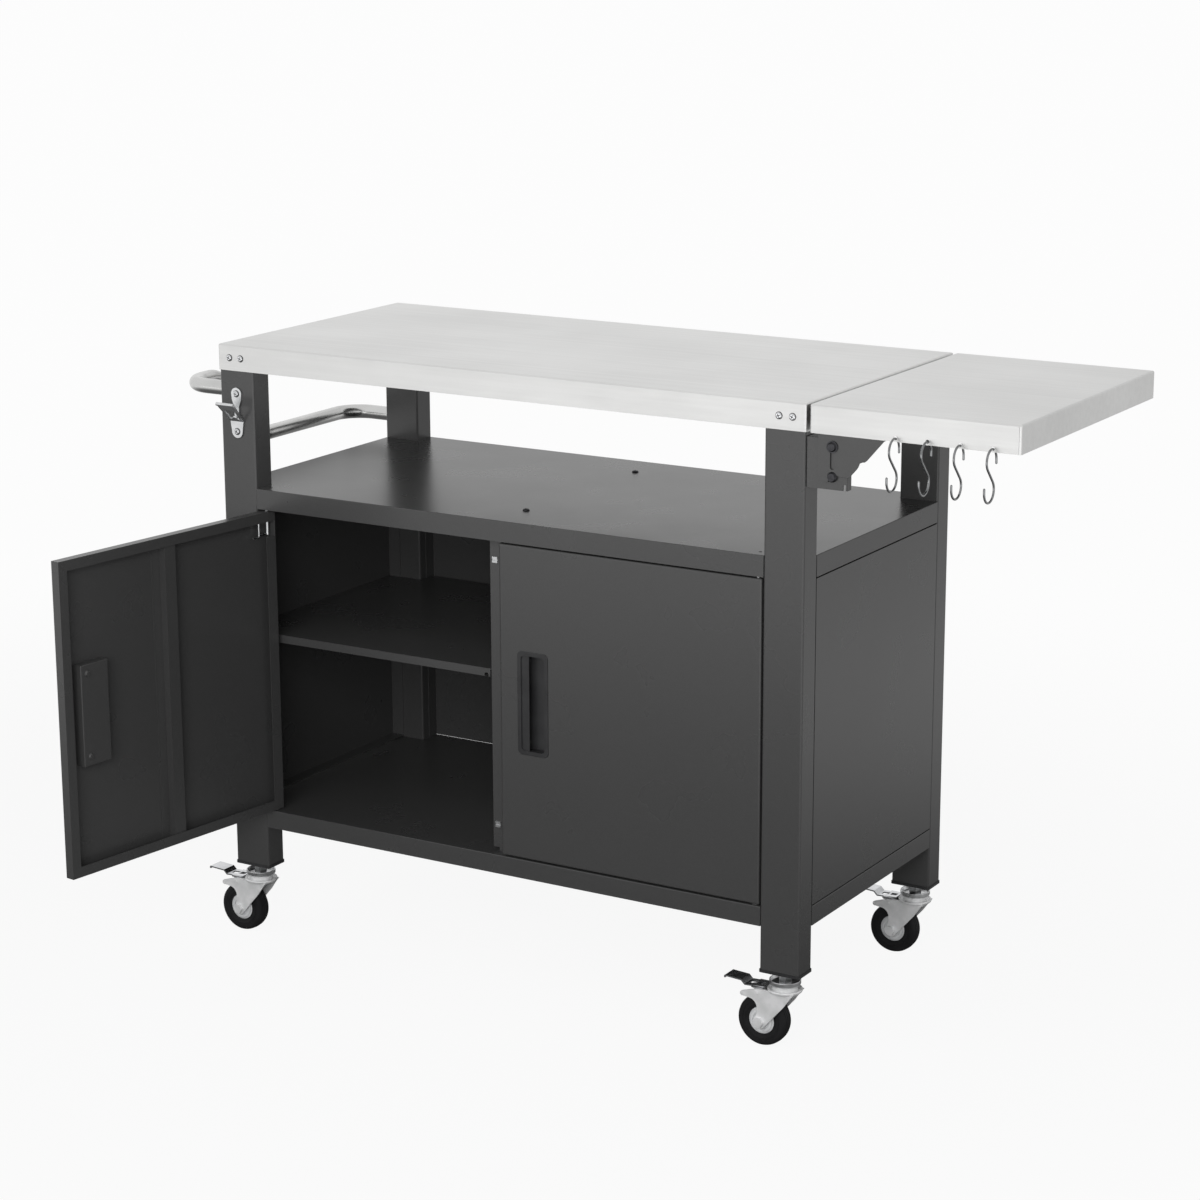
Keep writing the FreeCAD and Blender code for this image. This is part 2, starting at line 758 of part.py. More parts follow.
def bottle_opener():
    """A pressed opener: lug above, foot below, and a hooded stirrup that catches the cap."""
    face = -leg_face_y
    low, high = opener_screws_z()
    middle = (low + high) / 2
    waist_z = middle - opener_neck_below
    neck_z = middle + opener_neck_above
    side = [(opener_lug, high), (opener_lug * 0.9, high - opener_lug), (opener_neck, neck_z),
            (opener_neck, waist_z), (opener_waist, waist_z - opener_neck / 2), (opener_foot, low)]
    outline = [(0, high + opener_lug, "arc")] + side + [(0, low - opener_foot, "arc")]
    outline = [(-opener_lug, high)] + outline + [(-x, z) for x, z in reversed(side[1:])]
    plate = prism(outline, face - opener_plate, face)
    slope = math.atan2(opener_rise, opener_reach - opener_plate)
    run = math.hypot(opener_rise, opener_reach - opener_plate)
    half_low = opener_waist
    half_high = opener_lip_width / 2
    inside = half_low - opener_leg
    strap = prism([(-half_low, 0), (half_low, 0), (half_high, run), (-half_high, run)], -opener_plate, 0)
    edge = [(inside * 0.55, window_sill), (inside, window_foot),
            (inside + window_bulge, run - window_shoulder), (inside - window_taper, run - window_head)]
    hole = [(0, window_sill + opener_tooth, "arc")] + edge + [(-x, z) for x, z in reversed(edge)]
    window = prism(hole[-1:] + hole[:-1], -2 * opener_plate, opener_plate)
    lip = rod(opener_lip_radius, (-half_high, -opener_plate / 2, run), (half_high, -opener_plate / 2, run))
    strap = strap.cut(window).fuse(lip)
    strap.rotate(Vector(0, 0, 0), X_AXIS, 90 - math.degrees(slope))
    strap.translate(Vector(0, face - opener_plate * 0.4, middle - opener_root_below))
    body = plate.fuse(strap).cut(block(-half_high, half_high, face, face + opener_lug, low, high))
    for z in (low, high):
        body = body.cut(drill(pan_shank, (0, face, z), Y_AXIS))
    body.translate(Vector(-leg_x, 0, 0))
    keep("bottle_opener", body.removeSplitter())


def leg_flange_screws_z():
    high = pivot_z + web_above_pivot - bracket_screw_inset
    low = pivot_z - web_below_pivot + bracket_screw_inset
    return (high, low)


def fixed_bracket():
    """The front bracket that stays on the leg: web, flange against the leg, and a return lip."""
    left = leg_face_x
    right = pivot_x + web_right
    top = pivot_z + web_above_pivot
    low = pivot_z - web_below_pivot
    sheet = bracket_sheet
    web = block(left, right, web_front, web_front + sheet, low, top)
    flange = block(left, left + sheet, web_front, web_front + web_flange, low, top)
    lip = block(right - sheet, right, web_front, web_front + web_lip, low, top)
    body = web.fuse(flange).fuse(lip).removeSplitter()
    folds = [edge for edge in body.Edges if edge.BoundBox.ZLength > top - low - tiny
             and abs(edge.BoundBox.YMin - web_front) < tiny]
    body = body.makeFillet(sheet * 0.8, folds)
    relief = block(right - sheet - web_relief, right - sheet, web_front - through, web_front + through,
                   low - through, low + 2 * web_relief)
    body = body.cut(relief)
    body = body.cut(drill(screw_radius + running_fit, (pivot_x, web_front, pivot_z), Y_AXIS))
    body = body.cut(drill(screw_radius, (pivot_x, web_front, pivot_z - stop_below_pivot), Y_AXIS))
    for z in leg_flange_screws_z():
        body = body.cut(drill(pan_shank, (left, -leg_y, z), X_AXIS))
    return body


def rivet_places():
    y = plate_front + plate_flange * 0.6
    return [(pivot_x + plate_reach * share, y) for share in (0.45, 0.86)]


def leaf_plate():
    """The front plate that moves with the leaf: slot, stop notch and stepped lower edge."""
    r = screw_radius + stop_clearance
    top = pivot_below_apron
    drop = stop_below_pivot
    low = -plate_below_pivot
    corner = plate_corner * (1 - math.sqrt(0.5))
    outline = [(-plate_edge, top), (-plate_edge, low + plate_corner),
               (corner - plate_edge, low + corner, "arc"),
               (plate_corner - plate_edge, low), (-r - bracket_sheet, low), (-r, -drop)]
    for degrees, mark in ((131, ("arc",)), (72, ())):
        turn = math.radians(degrees)
        outline.append((r * math.cos(turn), r * math.sin(turn) - drop) + mark)
    outline += shifted(plate_foot, r, -drop)
    outline += shifted(plate_rise, drop - r, -slot_travel)
    outline += shifted(plate_step, drop, -slot_travel)
    outline += [(plate_reach, top - bracket_sheet), (plate_reach, top)]
    sheet = bracket_sheet
    outline = shifted(outline, pivot_x, pivot_z)
    body = prism(outline, plate_front, plate_front + sheet)
    flange = block(pivot_x - plate_edge, pivot_x + plate_reach, plate_front, plate_front + plate_flange,
                   apron_bottom - sheet, apron_bottom)
    body = body.fuse(flange)
    width = screw_radius + sliding_gap
    end = -slot_travel
    slot = [(-width, 0), (0, width, "arc"), (width, 0), (width, end), (0, end - width, "arc"), (-width, end)]
    body = body.cut(prism(shifted(slot, pivot_x, pivot_z), plate_front - through, plate_front + through))
    for x, y in rivet_places():
        body = body.cut(drill(rivet_radius, (x, y, apron_bottom), Z_AXIS))
    return body.removeSplitter()


def leaf_rivets():
    """The two rivets that hold the front plate's flange to the leaf's lip."""
    rivets = []
    top = apron_bottom + steel_sheet
    low = apron_bottom - bracket_sheet
    for x, y in rivet_places():
        rivet = rod(rivet_radius, (x, y, low), (x, y, top))
        for z in (low - rivet_head, top):
            rivet = rivet.fuse(rod(rivet_radius * 1.7, (x, y, z), (x, y, z + rivet_head)))
        rivets.append(rivet.removeSplitter())
    return rivets


def front_head(radius, height, x, base, z):
    """A low conical screw head that stands forward of base."""
    return Part.makeCone(radius, radius * 0.75, height, Vector(x, base, z), Vector(0, -1, 0))


def pivot_screw():
    """The upper screw that the leaf turns on, with its washer and nut; front one."""
    washer_back = plate_front - moving_gap
    head_back = washer_back - washer_thick
    nut_front = web_front + bracket_sheet + moving_gap
    end = nut_front + pivot_nut_height + screw_past_nut
    shank = rod(screw_radius, (pivot_x, head_back, pivot_z), (pivot_x, end, pivot_z))
    washer = rod(pivot_washer, (pivot_x, head_back, pivot_z), (pivot_x, washer_back, pivot_z))
    head = front_head(pivot_head, pivot_head_height, pivot_x, head_back, pivot_z)
    nut = hexagon(small_nut, pivot_nut_height, (pivot_x, nut_front, pivot_z), (0, 1, 0))
    return shank.fuse(washer).fuse(nut).fuse(head).removeSplitter()


def stop_screw():
    """The lower screw, fixed in the web, that the plate's notch rests on; front one."""
    z = pivot_z - stop_below_pivot
    head_back = plate_front - moving_gap
    nut_front = web_front + bracket_sheet
    end = nut_front + stop_nut_height + screw_past_nut
    shank = rod(screw_radius, (pivot_x, head_back, z), (pivot_x, end, z))
    head = front_head(stop_head, stop_head_height, pivot_x, head_back, z)
    nut = hexagon(small_nut, stop_nut_height, (pivot_x, nut_front, z), (0, 1, 0))
    return shank.fuse(nut).fuse(head).removeSplitter()


def side_leaf():
    left = leaf_left
    right = left + leaf_length
    body = tray(left, right, -half_depth, half_depth, overall_height, apron_height, steel_sheet)
    for sign in (-1, 1):
        lip = sorted((sign * leg_face_y, sign * (leg_face_y - leaf_lip)))
        body = body.fuse(block(left + steel_sheet / 2, left + leaf_lip_length, *lip, apron_bottom,
                               apron_bottom + steel_sheet))
        for x, y in rivet_places():
            body = body.cut(drill(rivet_radius, (x, -sign * y, apron_bottom), Z_AXIS))
    for x in hook_places():
        body = body.cut(drill(hook_hole_radius, (x, -half_depth, hook_hole_z()), Y_AXIS))
    body = body.removeSplitter()
    seam = right - fold_radius
    for y in (-half_depth, half_depth):
        body = body.cut(block(seam - corner_seam, seam, y - fold_radius, y + fold_radius,
                              apron_bottom - through, overall_height - fold_radius))
    keep("side_leaf", body)


def leaf_stiffener():
    hat = top_hat()
    hat.translate(Vector(leaf_left + leaf_length - leaf_hat_from_end, 0, 0))
    keep("leaf_stiffener", hat)


def hook_places():
    return [leaf_left + first_hook_from_leaf_end + k * hook_spacing for k in range(hook_count)]


def hook_hole_z():
    return apron_bottom + hook_hole_above_edge


def s_hooks():
    """Wire hooks through the holes of the leaf's front apron, all alike."""
    reach = hook_offset + steel_sheet
    rest_z = hook_hole_z() - hook_hole_radius + hook_wire + sliding_gap
    top_z = rest_z + hook_loop - math.sqrt(hook_loop ** 2 - reach ** 2)
    upper = Vector(0, -half_depth - hook_offset, top_z - hook_loop)
    lower = Vector(0, upper.y - hook_lean, top_z - hook_height + hook_loop)
    between = lower - upper
    tilt = math.acos(2 * hook_loop / between.Length)
    normal_angle = math.atan2(between.z, between.y) - tilt
    leave = Vector(0, math.cos(normal_angle), math.sin(normal_angle)) * hook_loop
    tail = Vector(0, 0, hook_tail)
    start = upper + Vector(0, hook_loop, 0)
    end = lower - Vector(0, hook_loop, 0)
    path = Part.Wire([Part.makeLine(start - tail, start),
                      Part.Arc(start, upper + Vector(0, 0, hook_loop), upper + leave).toShape(),
                      Part.makeLine(upper + leave, lower - leave),
                      Part.Arc(lower - leave, lower - Vector(0, 0, hook_loop), end).toShape(),
                      Part.makeLine(end, end + tail)])
    hook = pipe(path, hook_wire)
    for index, x in enumerate(hook_places()):
        copy = hook.copy()
        copy.translate(Vector(x, 0, 0))
        keep("s_hook_%d" % (index + 1), copy)


def leaf_brackets():
    fixed = fixed_bracket()
    keep("leg_bracket_front", fixed)
    keep("leg_bracket_rear", mirrored(fixed, Y_AXIS))
    plate = [leaf_plate()] + leaf_rivets()
    keep("leaf_plate_front", *plate)
    keep("leaf_plate_rear", *[mirrored(solid, Y_AXIS) for solid in plate])
    screw = pivot_screw()
    keep("leaf_pivot_screws", screw, mirrored(screw, Y_AXIS))
    stop = stop_screw()
    keep("leaf_stop_screws", stop, mirrored(stop, Y_AXIS))


def door_shell():
    """The left door, closed: a skin with flanges on four sides and lips turned in behind."""
    left = -leg_inner_x + door_gap
    right = left + door_width
    front = -leg_face_y
    back = front + door_thickness
    wall = cabinet_sheet
    outer = folded_front(left, right, front, back, door_bottom, door_top, door_fold)
    inner = folded_front(left + wall, right - wall, front + wall, back - wall, door_bottom + wall,
                         door_top - wall, door_fold - wall)
    mouth = block(left + hinge_lip, right - door_lip, back - 2 * wall, back + wall, door_bottom + door_lip,
                  door_top - door_lip)
    body = outer.cut(inner).cut(mouth)
    window_top = door_top - door_lip
    body = body.cut(block(left + wall, left + hinge_lip + wall, back - 2 * wall, back + wall,
                          window_top - lever_window, window_top))
    x0, x1, z0, z1 = pull_opening()
    body = body.cut(rounded_slab(x0, x1, front - through, front + 2 * wall, z0, z1, pull_corner))
    body = body.cut(drill(pin_radius, (-pin_x, pin_y, door_bottom), Z_AXIS))
    return body.cut(drill(pin_radius + sliding_gap, (-pin_x, pin_y, door_top), Z_AXIS))


def folded_front(x0, x1, y0, y1, z0, z1, radius):
    """A block whose four front edges, at y0, are rounded as sheet folds are."""
    shape = block(x0, x1, y0, y1, z0, z1)
    return shape.makeFillet(radius, [edge for edge in shape.Edges if edge.BoundBox.YMax < y0 + tiny])


def rounded_slab(x0, x1, y0, y1, z0, z1, radius):
    """A slab across the doors' plane with its four corners rounded in X and Z."""
    shape = block(x0, x1, y0, y1, z0, z1)
    corners = [edge for edge in shape.Edges if edge.BoundBox.YLength > tiny]
    return shape.makeFillet(radius, corners)


def pull_opening():
    """The hole for the pull in the left door: X and Z limits."""
    free_edge = -leg_inner_x + door_gap + door_width
    x1 = free_edge - pull_from_edge - pull_rim
    x0 = x1 - pull_width + 2 * pull_rim
    middle = door_middle + pull_above_middle
    half = pull_height / 2 - pull_rim
    return x0, x1, middle - half, middle + half


def cover_screw_places():
    """X and Z of the two screws that hold the sheet box to the back of the pull."""
    x0, x1, z0, z1 = pull_opening()
    x = (x0 + x1) / 2 + cover_width / 2 - cover_screw_from_side
    middle = (z0 + z1) / 2
    reach = cover_height / 2 - cover_screw_from_end
    return [(x, middle - reach), (x, middle + reach)]


def door_pull():
    """The recessed pull: raised rim, deep pocket, and a grip strip on the free-edge side."""
    x0, x1, z0, z1 = pull_opening()
    front = -leg_face_y
    rim = rounded_slab(x0 - pull_rim, x1 + pull_rim, front - pull_rim_proud, front, z0 - pull_rim,
                       z1 + pull_rim, pull_corner)
    edges = [edge for edge in rim.Edges if abs(edge.BoundBox.YMax - front + pull_rim_proud) < tiny]
    rim = rim.makeFillet(pull_rim_proud * 0.6, edges)
    back = front + pull_depth + pull_wall
    cup = rounded_slab(x0, x1, front, back, z0, z1, pull_corner)
    wall = pull_wall
    pocket = rounded_slab(x0 + wall, x1 - wall, front - through, front + pull_depth, z0 + wall, z1 - wall,
                          pull_corner - wall)
    body = rim.fuse(cup).cut(pocket)
    inset = wall / 2
    grip_front = front + pull_grip_sunk
    grip = block(x1 - pull_grip, x1 - inset, grip_front, grip_front + wall, z0 + wall, z1 - wall)
    body = body.fuse(grip).removeSplitter()
    for x, z in cover_screw_places():
        body = body.cut(drill(pan_shank, (x, back, z), Y_AXIS))
    return body


def pull_cover():
    """The sheet box behind the pull, closed at the back, with its two screws."""
    x0, x1, z0, z1 = pull_opening()
    wall = cabinet_sheet
    across, up = (x0 + x1) / 2, (z0 + z1) / 2
    left, right = across - cover_width / 2, across + cover_width / 2
    low, high = up - cover_height / 2, up + cover_height / 2
    front = -leg_face_y + cabinet_sheet
    back = -leg_face_y + door_thickness + cover_extra
    cup_back = -leg_face_y + pull_depth + pull_wall
    box = block(left, right, front, back, low, high)
    box = box.makeFillet(cover_fold, [edge for edge in box.Edges if edge.BoundBox.YMin > back - tiny])
    box = box.cut(block(left + wall, right - wall, front - wall, back - wall, low + wall, high - wall))
    screws = []
    for x, z in cover_screw_places():
        box = box.cut(drill(pan_shank, (x, back, z), Y_AXIS))
        screws.append(pan_screw((x, back, z), (0, 1, 0), back - cup_back + pull_wall))
    return [box] + screws


def door_stiffener():
    """A hat section down the middle of the door, on the inside of its skin."""
    mid = -leg_inner_x + door_gap + door_width / 2
    length = door_top - door_bottom - 2 * door_fold
    height = door_thickness - 3 * cabinet_sheet
    hat = hat_channel(length, stiffener_width, height, stiffener_flange, cabinet_sheet)
    hat.rotate(Vector(0, 0, 0), X_AXIS, 90)
    hat.translate(Vector(mid, -leg_face_y + cabinet_sheet, door_bottom + door_fold))
    return hat


def spring_pin():
    """The upper hinge pin with the bent wire that draws it down to lift the door off."""
    top = storage_top_height - storage_apron + pin_reach
    low = door_top - lever_drop
    x, y = -pin_x, pin_y
    arm = x + lever_arm
    tail = bent_path([(arm, y, low + lever_arm_height), (arm, y, low), (x + lever_length, y, low)],
                     [lever_bend])
    bar_z = low + lever_bend
    body = rod(pin_radius, (x, y, top - pin_shoulder), (x, y, top))
    body = body.fuse(rod(pin_neck, (x, y, bar_z - lever_wire), (x, y, top - pin_neck)))
    body = body.fuse(rod(lever_wire, (x, y, bar_z), (arm, y, bar_z)))
    return body.fuse(pipe(tail, lever_wire)).removeSplitter()


def hinge_fittings():
    """The barrel that guides the spring pin, and the fixed lower pin with its collar."""
    x, y = -pin_x, pin_y
    edge = -leg_inner_x + door_gap + cabinet_sheet
    high = door_top - cabinet_sheet
    low = high - barrel_length
    barrel = rod(barrel_radius, (x, y, low), (x, y, high))
    foot = block(edge, x, y - barrel_foot / 2, y + barrel_foot / 2, low, high)
    bore = drill(pin_radius + running_fit, (x, y, low), Z_AXIS, barrel_length + through)
    barrel = barrel.fuse(foot).cut(bore).removeSplitter()
    inside = door_bottom + cabinet_sheet
    pin = rod(pin_radius, (x, y, bottom_height - pin_reach), (x, y, inside + pin_rivet_height))
    collar = rod(collar_radius, (x, y, bottom_height + sliding_gap), (x, y, door_bottom))
    rivet = rod(pin_rivet, (x, y, inside), (x, y, inside + pin_rivet_height))
    return [barrel, pin.fuse(collar).fuse(rivet).removeSplitter()]


def doors():
    shapes = {"door_%s": [door_shell()], "door_%s_stiffener": [door_stiffener()],
              "door_%s_pull": [door_pull()], "door_%s_pull_cover": pull_cover(),
              "door_%s_spring_pin": [spring_pin()], "door_%s_hinge_fittings": hinge_fittings()}
    hinge_line = Vector(-pin_x, pin_y, 0)
    for name, solids in shapes.items():
        opened = [solid.copy() for solid in solids]
        for solid in opened:
            solid.rotate(hinge_line, Vector(0, 0, 1), -door_open_angle)
        keep(name % "left", *opened)
        keep(name % "right", *[mirrored(solid, X_AXIS) for solid in solids])


def lathe(points):
    """A solid of revolution about Z from an outline of radius and height."""
    wire = outline_wire([(p[0], 0, p[1]) + tuple(p[2:]) for p in points])
    return Part.Face(wire).revolve(Vector(0, 0, 0), Z_AXIS, 360)


def outline_wire(points):
    """A closed wire through the points; a 4-item entry is the middle of an arc."""
    edges = []
    last = Vector(*points[0][:3])
    middle = None
    for point in points[1:] + points[:1]:
        here = Vector(*point[:3])
        if len(point) == 4:
            middle = here
            continue
        if middle is None:
            edges.append(Part.makeLine(last, here))
        else:
            edges.append(Part.Arc(last, middle, here).toShape())
            middle = None
        last = here
    return Part.Wire(edges)


def caster_stem(x, y):
    """The threaded stem with its nut and the upper race that the fork turns under."""
    low = fork_top + race_height + race_gap
    under = fork_top - fork_plate
    floor = low + cup_floor
    rim = race_top - cup_edge
    middle = race_radius - cup_edge / 2
    cup = lathe([(0, low), (race_radius - cup_edge, low), (race_radius, low + cup_edge), (race_radius, rim),
                 (middle, rim + cup_edge * 0.7, "arc"), (race_radius - cup_edge, rim + cup_edge / 2),
                 (race_radius - cup_wall, floor), (0, floor)])
    cup.translate(Vector(x, y, 0))
    stem = rod(stem_radius, (x, y, under - race_gap), (x, y, leg_bottom + cap_plug))
    nut = hexagon(nut_across, cap_bottom - floor, (x, y, floor), (0, 0, 1))
    rivet = rod(stem_rivet, (x, y, under - fork_plate), (x, y, under - moving_gap))
    return stem.fuse(nut).fuse(cup).fuse(rivet).removeSplitter()


def fork_outline():
    """One side plate of the fork in X and Z, with the stem's axis at x = 0."""
    r = fork_end_radius
    turn = math.radians(30)
    end = [(r * math.cos(turn), -r * math.sin(turn)), (0, -r, "arc")]
    outline = shifted(fork_front, race_radius, fork_top) + shifted(end, -trail, wheel_radius)
    outline += shifted(fork_throat + fork_horn, -trail - r, wheel_radius)
    return outline + shifted(fork_crest, -trail - r, fork_top)


def caster_fork(x, y):
    """Fork with a dished lower race, two side plates, the brake's rivet and the axle bolt."""
    inner, outer = fork_gap, fork_gap + fork_plate
    plate = prism(fork_outline(), inner, outer)
    body = plate.fuse(mirrored(plate, Y_AXIS))
    base = fork_top - fork_plate
    race = fork_top + race_height
    rim = shifted(rim_section, rim_radius, fork_top)
    crown = lathe([(0, base)] + rim + [(rim[-1][0] - 1, race), (0, race)])
    bridge_x = race_radius - fork_plate
    bridge = block(-bridge_x, bridge_x, -outer, outer, base, fork_top)
    body = body.fuse(crown).fuse(bridge)
    body = body.cut(rod(stem_radius + running_fit, (0, 0, base - through), (0, 0, race + through)))
    end = outer + rivet_head
    rivet = rod(pedal_rivet, (-pedal_pivot_x, -end, pedal_pivot_z), (-pedal_pivot_x, end, pedal_pivot_z))
    body = body.fuse(rivet).removeSplitter()
    bolt = rod(axle_radius, (-trail, -outer, wheel_radius), (-trail, outer, wheel_radius))
    body = body.cut(bolt)
    head = hexagon(axle_head, axle_head_height, (-trail, -outer, wheel_radius), (0, -1, 0))
    nut = hexagon(axle_head, axle_nut_height, (-trail, outer, wheel_radius), (0, 1, 0))
    bolt = bolt.fuse(head).fuse(nut).removeSplitter()
    return [moved(body, x, y), moved(bolt, x, y)]


def moved(shape, x, y):
    shape = shape.copy()
    shape.translate(Vector(x, y, 0))
    return shape


def wheel_ring(half, crown=()):
    """A ring turned about the axle from the near half of its section: radius, distance across."""
    section = list(half) + list(crown) + [(p[0], -p[1]) + tuple(p[2:]) for p in reversed(half)]
    wire = outline_wire([(p[0], p[1], 0) + tuple(p[2:]) for p in section])
    ring = Part.Face(wire).revolve(Vector(0, 0, 0), Y_AXIS, 360)
    ring.translate(Vector(-trail, 0, wheel_radius))
    return ring


def caster_wheel(x, y):
    """Tyre with a crowned tread and stepped flanks, and the hub with its two cover discs."""
    flank = -wheel_width / 2
    tread = wheel_radius
    shoulder = shifted(tyre_flank, tyre_inner, flank) + shifted(tyre_shoulder, tread, flank)
    tyre = wheel_ring(shoulder, [(tread, 0, "arc")])
    end = -hub_width / 2
    bore = axle_radius + running_fit
    hub = wheel_ring([(bore, end), (hub_boss, end)] + shifted(hub_section, hub_face, flank))
    return [moved(tyre, x, y), moved(hub, x, y)]


def brake_pedal(x, y):
    """The foot lever: a slotted tongue with two ears on the fork's rivet, a step up, and a pad."""
    level = fork_top + pedal_above_fork
    sheet = pedal_sheet
    inner = -rim_radius - pedal_race_gap
    step = -pedal_step
    pad_z = level - pedal_fall + pedal_rise
    rise_end = step - pedal_rise
    tip = -pedal_tip
    tip_z = pad_z + pedal_fall
    round_off = sheet * 0.3
    outline = [(inner, level), (inner, level - sheet), (step, level - pedal_fall - sheet),
               (rise_end, pad_z - sheet), (tip + sheet, tip_z - sheet), (tip + sheet, tip_z - pedal_curl),
               (tip, tip_z - pedal_curl), (tip, tip_z - sheet), (tip + round_off, tip_z - round_off, "arc"),
               (tip + sheet, tip_z), (rise_end + sheet / 2, pad_z), (step + sheet / 2, level - pedal_fall)]
    body = prism(outline, -pedal_width / 2, pedal_width / 2)
    ear_in = wheel_width / 2 + pedal_ear_gap
    ear_out = fork_gap - moving_gap
    pivot = -pedal_pivot_x
    wing = block(pivot - pedal_wing, inner - sheet, -ear_out, ear_out, level - pedal_fall - sheet,
                 level - sheet / 2)
    body = body.fuse(wing)
    r = pedal_rivet + pedal_ear_wall
    root = level - sheet
    for side in (-1, 1):
        near = sorted((side * ear_in, side * ear_out))
        ear = [(-r, root), (-r, pedal_pivot_z), (0, pedal_pivot_z - r, "arc"), (r, pedal_pivot_z), (r, root)]
        body = body.fuse(prism(shifted(ear, pivot, 0), *near))
    body = body.cut(drill(pedal_rivet + running_fit, (pivot, 0, pedal_pivot_z), Y_AXIS, fork_gap))
    for x0, x1 in pedal_slots:
        body = body.cut(block(step + x0, step + x1, -pedal_slot, pedal_slot, root - through, level + through))
    return moved(body.removeSplitter(), x, y)


def casters():
    stems = []
    for (sx, sy), name in corners.items():
        x, y = sx * leg_x, sy * leg_y
        stems.append(caster_stem(x, y))
        keep("caster_fork_" + name, *caster_fork(x, y))
        keep("caster_wheel_" + name, *caster_wheel(x, y))
        keep("brake_pedal_" + name, brake_pedal(x, y))
    keep("caster_stems", *stems)


def fasteners():
    bright = []
    for point in top_screw_points():
        bright.append(pan_screw(point, (0, math.copysign(1, point[1]), 0)))
    for z in opener_screws_z():
        bright.append(pan_screw((-leg_x, -leg_face_y - opener_plate, z), (0, -1, 0), opener_screw_length))
    keep("bright_screws", *bright)
    dark = []
    for y in (-surface_screw_spread, surface_screw_spread):
        dark.append(pan_screw((0, y, storage_top_height), (0, 0, 1)))
    for y in (-leg_y, leg_y):
        for z in leg_flange_screws_z():
            dark.append(pan_screw((leg_face_x + bracket_sheet, y, z), (1, 0, 0), flange_screw_length))
    keep("dark_screws", *dark)


worktop()
worktop_stiffeners()
legs()
leg_end_caps()
storage_top()
storage_top_stiffener()
bottom_panel()
side_panels()
back_panel()
centre_stile()
door_catches()
shelf()
shelf_supports()
side_rail()
bottle_opener()
leaf_brackets()
side_leaf()
leaf_stiffener()
s_hooks()
doors()
casters()
fasteners()

os.makedirs("parts", exist_ok=True)
for name, shape in pieces.items():
    shape.exportStep("parts/%s.step" % name)
    print("%-28s solids %d valid %s volume %.0f" % (name, len(shape.Solids), shape.isValid(), shape.Volume))
print(len(pieces), "sub-parts")
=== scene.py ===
import math
import bpy
import bmesh
from mathutils import Matrix, Vector


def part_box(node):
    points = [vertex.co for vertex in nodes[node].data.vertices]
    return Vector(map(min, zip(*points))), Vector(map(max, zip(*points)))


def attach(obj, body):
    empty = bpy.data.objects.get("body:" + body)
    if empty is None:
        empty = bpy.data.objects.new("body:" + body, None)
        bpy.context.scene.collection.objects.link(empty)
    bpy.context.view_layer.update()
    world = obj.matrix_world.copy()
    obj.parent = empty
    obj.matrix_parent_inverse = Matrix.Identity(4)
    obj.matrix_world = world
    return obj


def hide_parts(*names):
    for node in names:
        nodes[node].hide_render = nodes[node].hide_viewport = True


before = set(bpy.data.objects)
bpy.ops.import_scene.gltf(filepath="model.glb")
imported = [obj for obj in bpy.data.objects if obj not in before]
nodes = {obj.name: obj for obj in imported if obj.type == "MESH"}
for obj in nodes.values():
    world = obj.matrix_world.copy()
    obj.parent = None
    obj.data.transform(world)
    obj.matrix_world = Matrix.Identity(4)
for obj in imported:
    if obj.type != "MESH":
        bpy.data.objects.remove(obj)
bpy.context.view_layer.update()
mm = 0.001
print("frame loaded:", len(nodes), "nodes")


# Colours are written as sRGB hex and turned to linear here.
def toLinear(hexText):
    values = [int(hexText[i:i + 2], 16) / 255 for i in (1, 3, 5)]
    return tuple(v / 12.92 if v < 0.04045 else ((v + 0.055) / 1.055) ** 2.4 for v in values) + (1.0,)


# Adds one node; inputs are values or the sockets that feed them.
def addNode(tree, kind, settings=None, inputs=None):
    node = tree.nodes.new(kind)
    for key, value in (settings or {}).items():
        setattr(node, key, value)
    for key, value in (inputs or {}).items():
        if isinstance(value, bpy.types.NodeSocket):
            tree.links.new(value, node.inputs[key])
        else:
            node.inputs[key].default_value = value
    return node


def startMaterial(name):
    material = bpy.data.materials.new(name)
    material.use_nodes = True
    tree = material.node_tree
    tree.nodes.clear()
    return material, tree, addNode(tree, "ShaderNodeTexCoord").outputs["Object"]


# A noise pattern keeps mostly inside these two ranges, which are stretched to the whole of a look.
noiseRange = {"tone": (0.35, 0.65), "gloss": (0.3, 0.7)}


# Three patterns drive every finish: a tone between two colours, the gloss about its mean, and the relief.
def endMaterial(tree, look, patterns, shaderValues):
    tone, gloss, height = patterns
    spread = addNode(tree, "ShaderNodeMapRange", None, {
        "Value": tone, "From Min": noiseRange["tone"][0], "From Max": noiseRange["tone"][1]})
    colour = addNode(tree, "ShaderNodeMix", {"data_type": "RGBA"}, {
        "Factor": spread.outputs[0], 6: toLinear(look["dark"]), 7: toLinear(look["light"])})
    rough = addNode(tree, "ShaderNodeMapRange", None, {
        "Value": gloss, "From Min": noiseRange["gloss"][0], "From Max": noiseRange["gloss"][1],
        "To Min": look["rough"] - look["patchy"], "To Max": look["rough"] + look["patchy"]})
    bump = addNode(tree, "ShaderNodeBump", None, {
        "Height": height, "Strength": look["relief"], "Distance": look["depth"] * mm})
    inputs = {"Base Color": colour.outputs[2], "Roughness": rough.outputs[0], "Normal": bump.outputs[0]}
    inputs.update(shaderValues)
    shader = addNode(tree, "ShaderNodeBsdfPrincipled", None, inputs)
    addNode(tree, "ShaderNodeOutputMaterial", None, {"Surface": shader.outputs[0]})


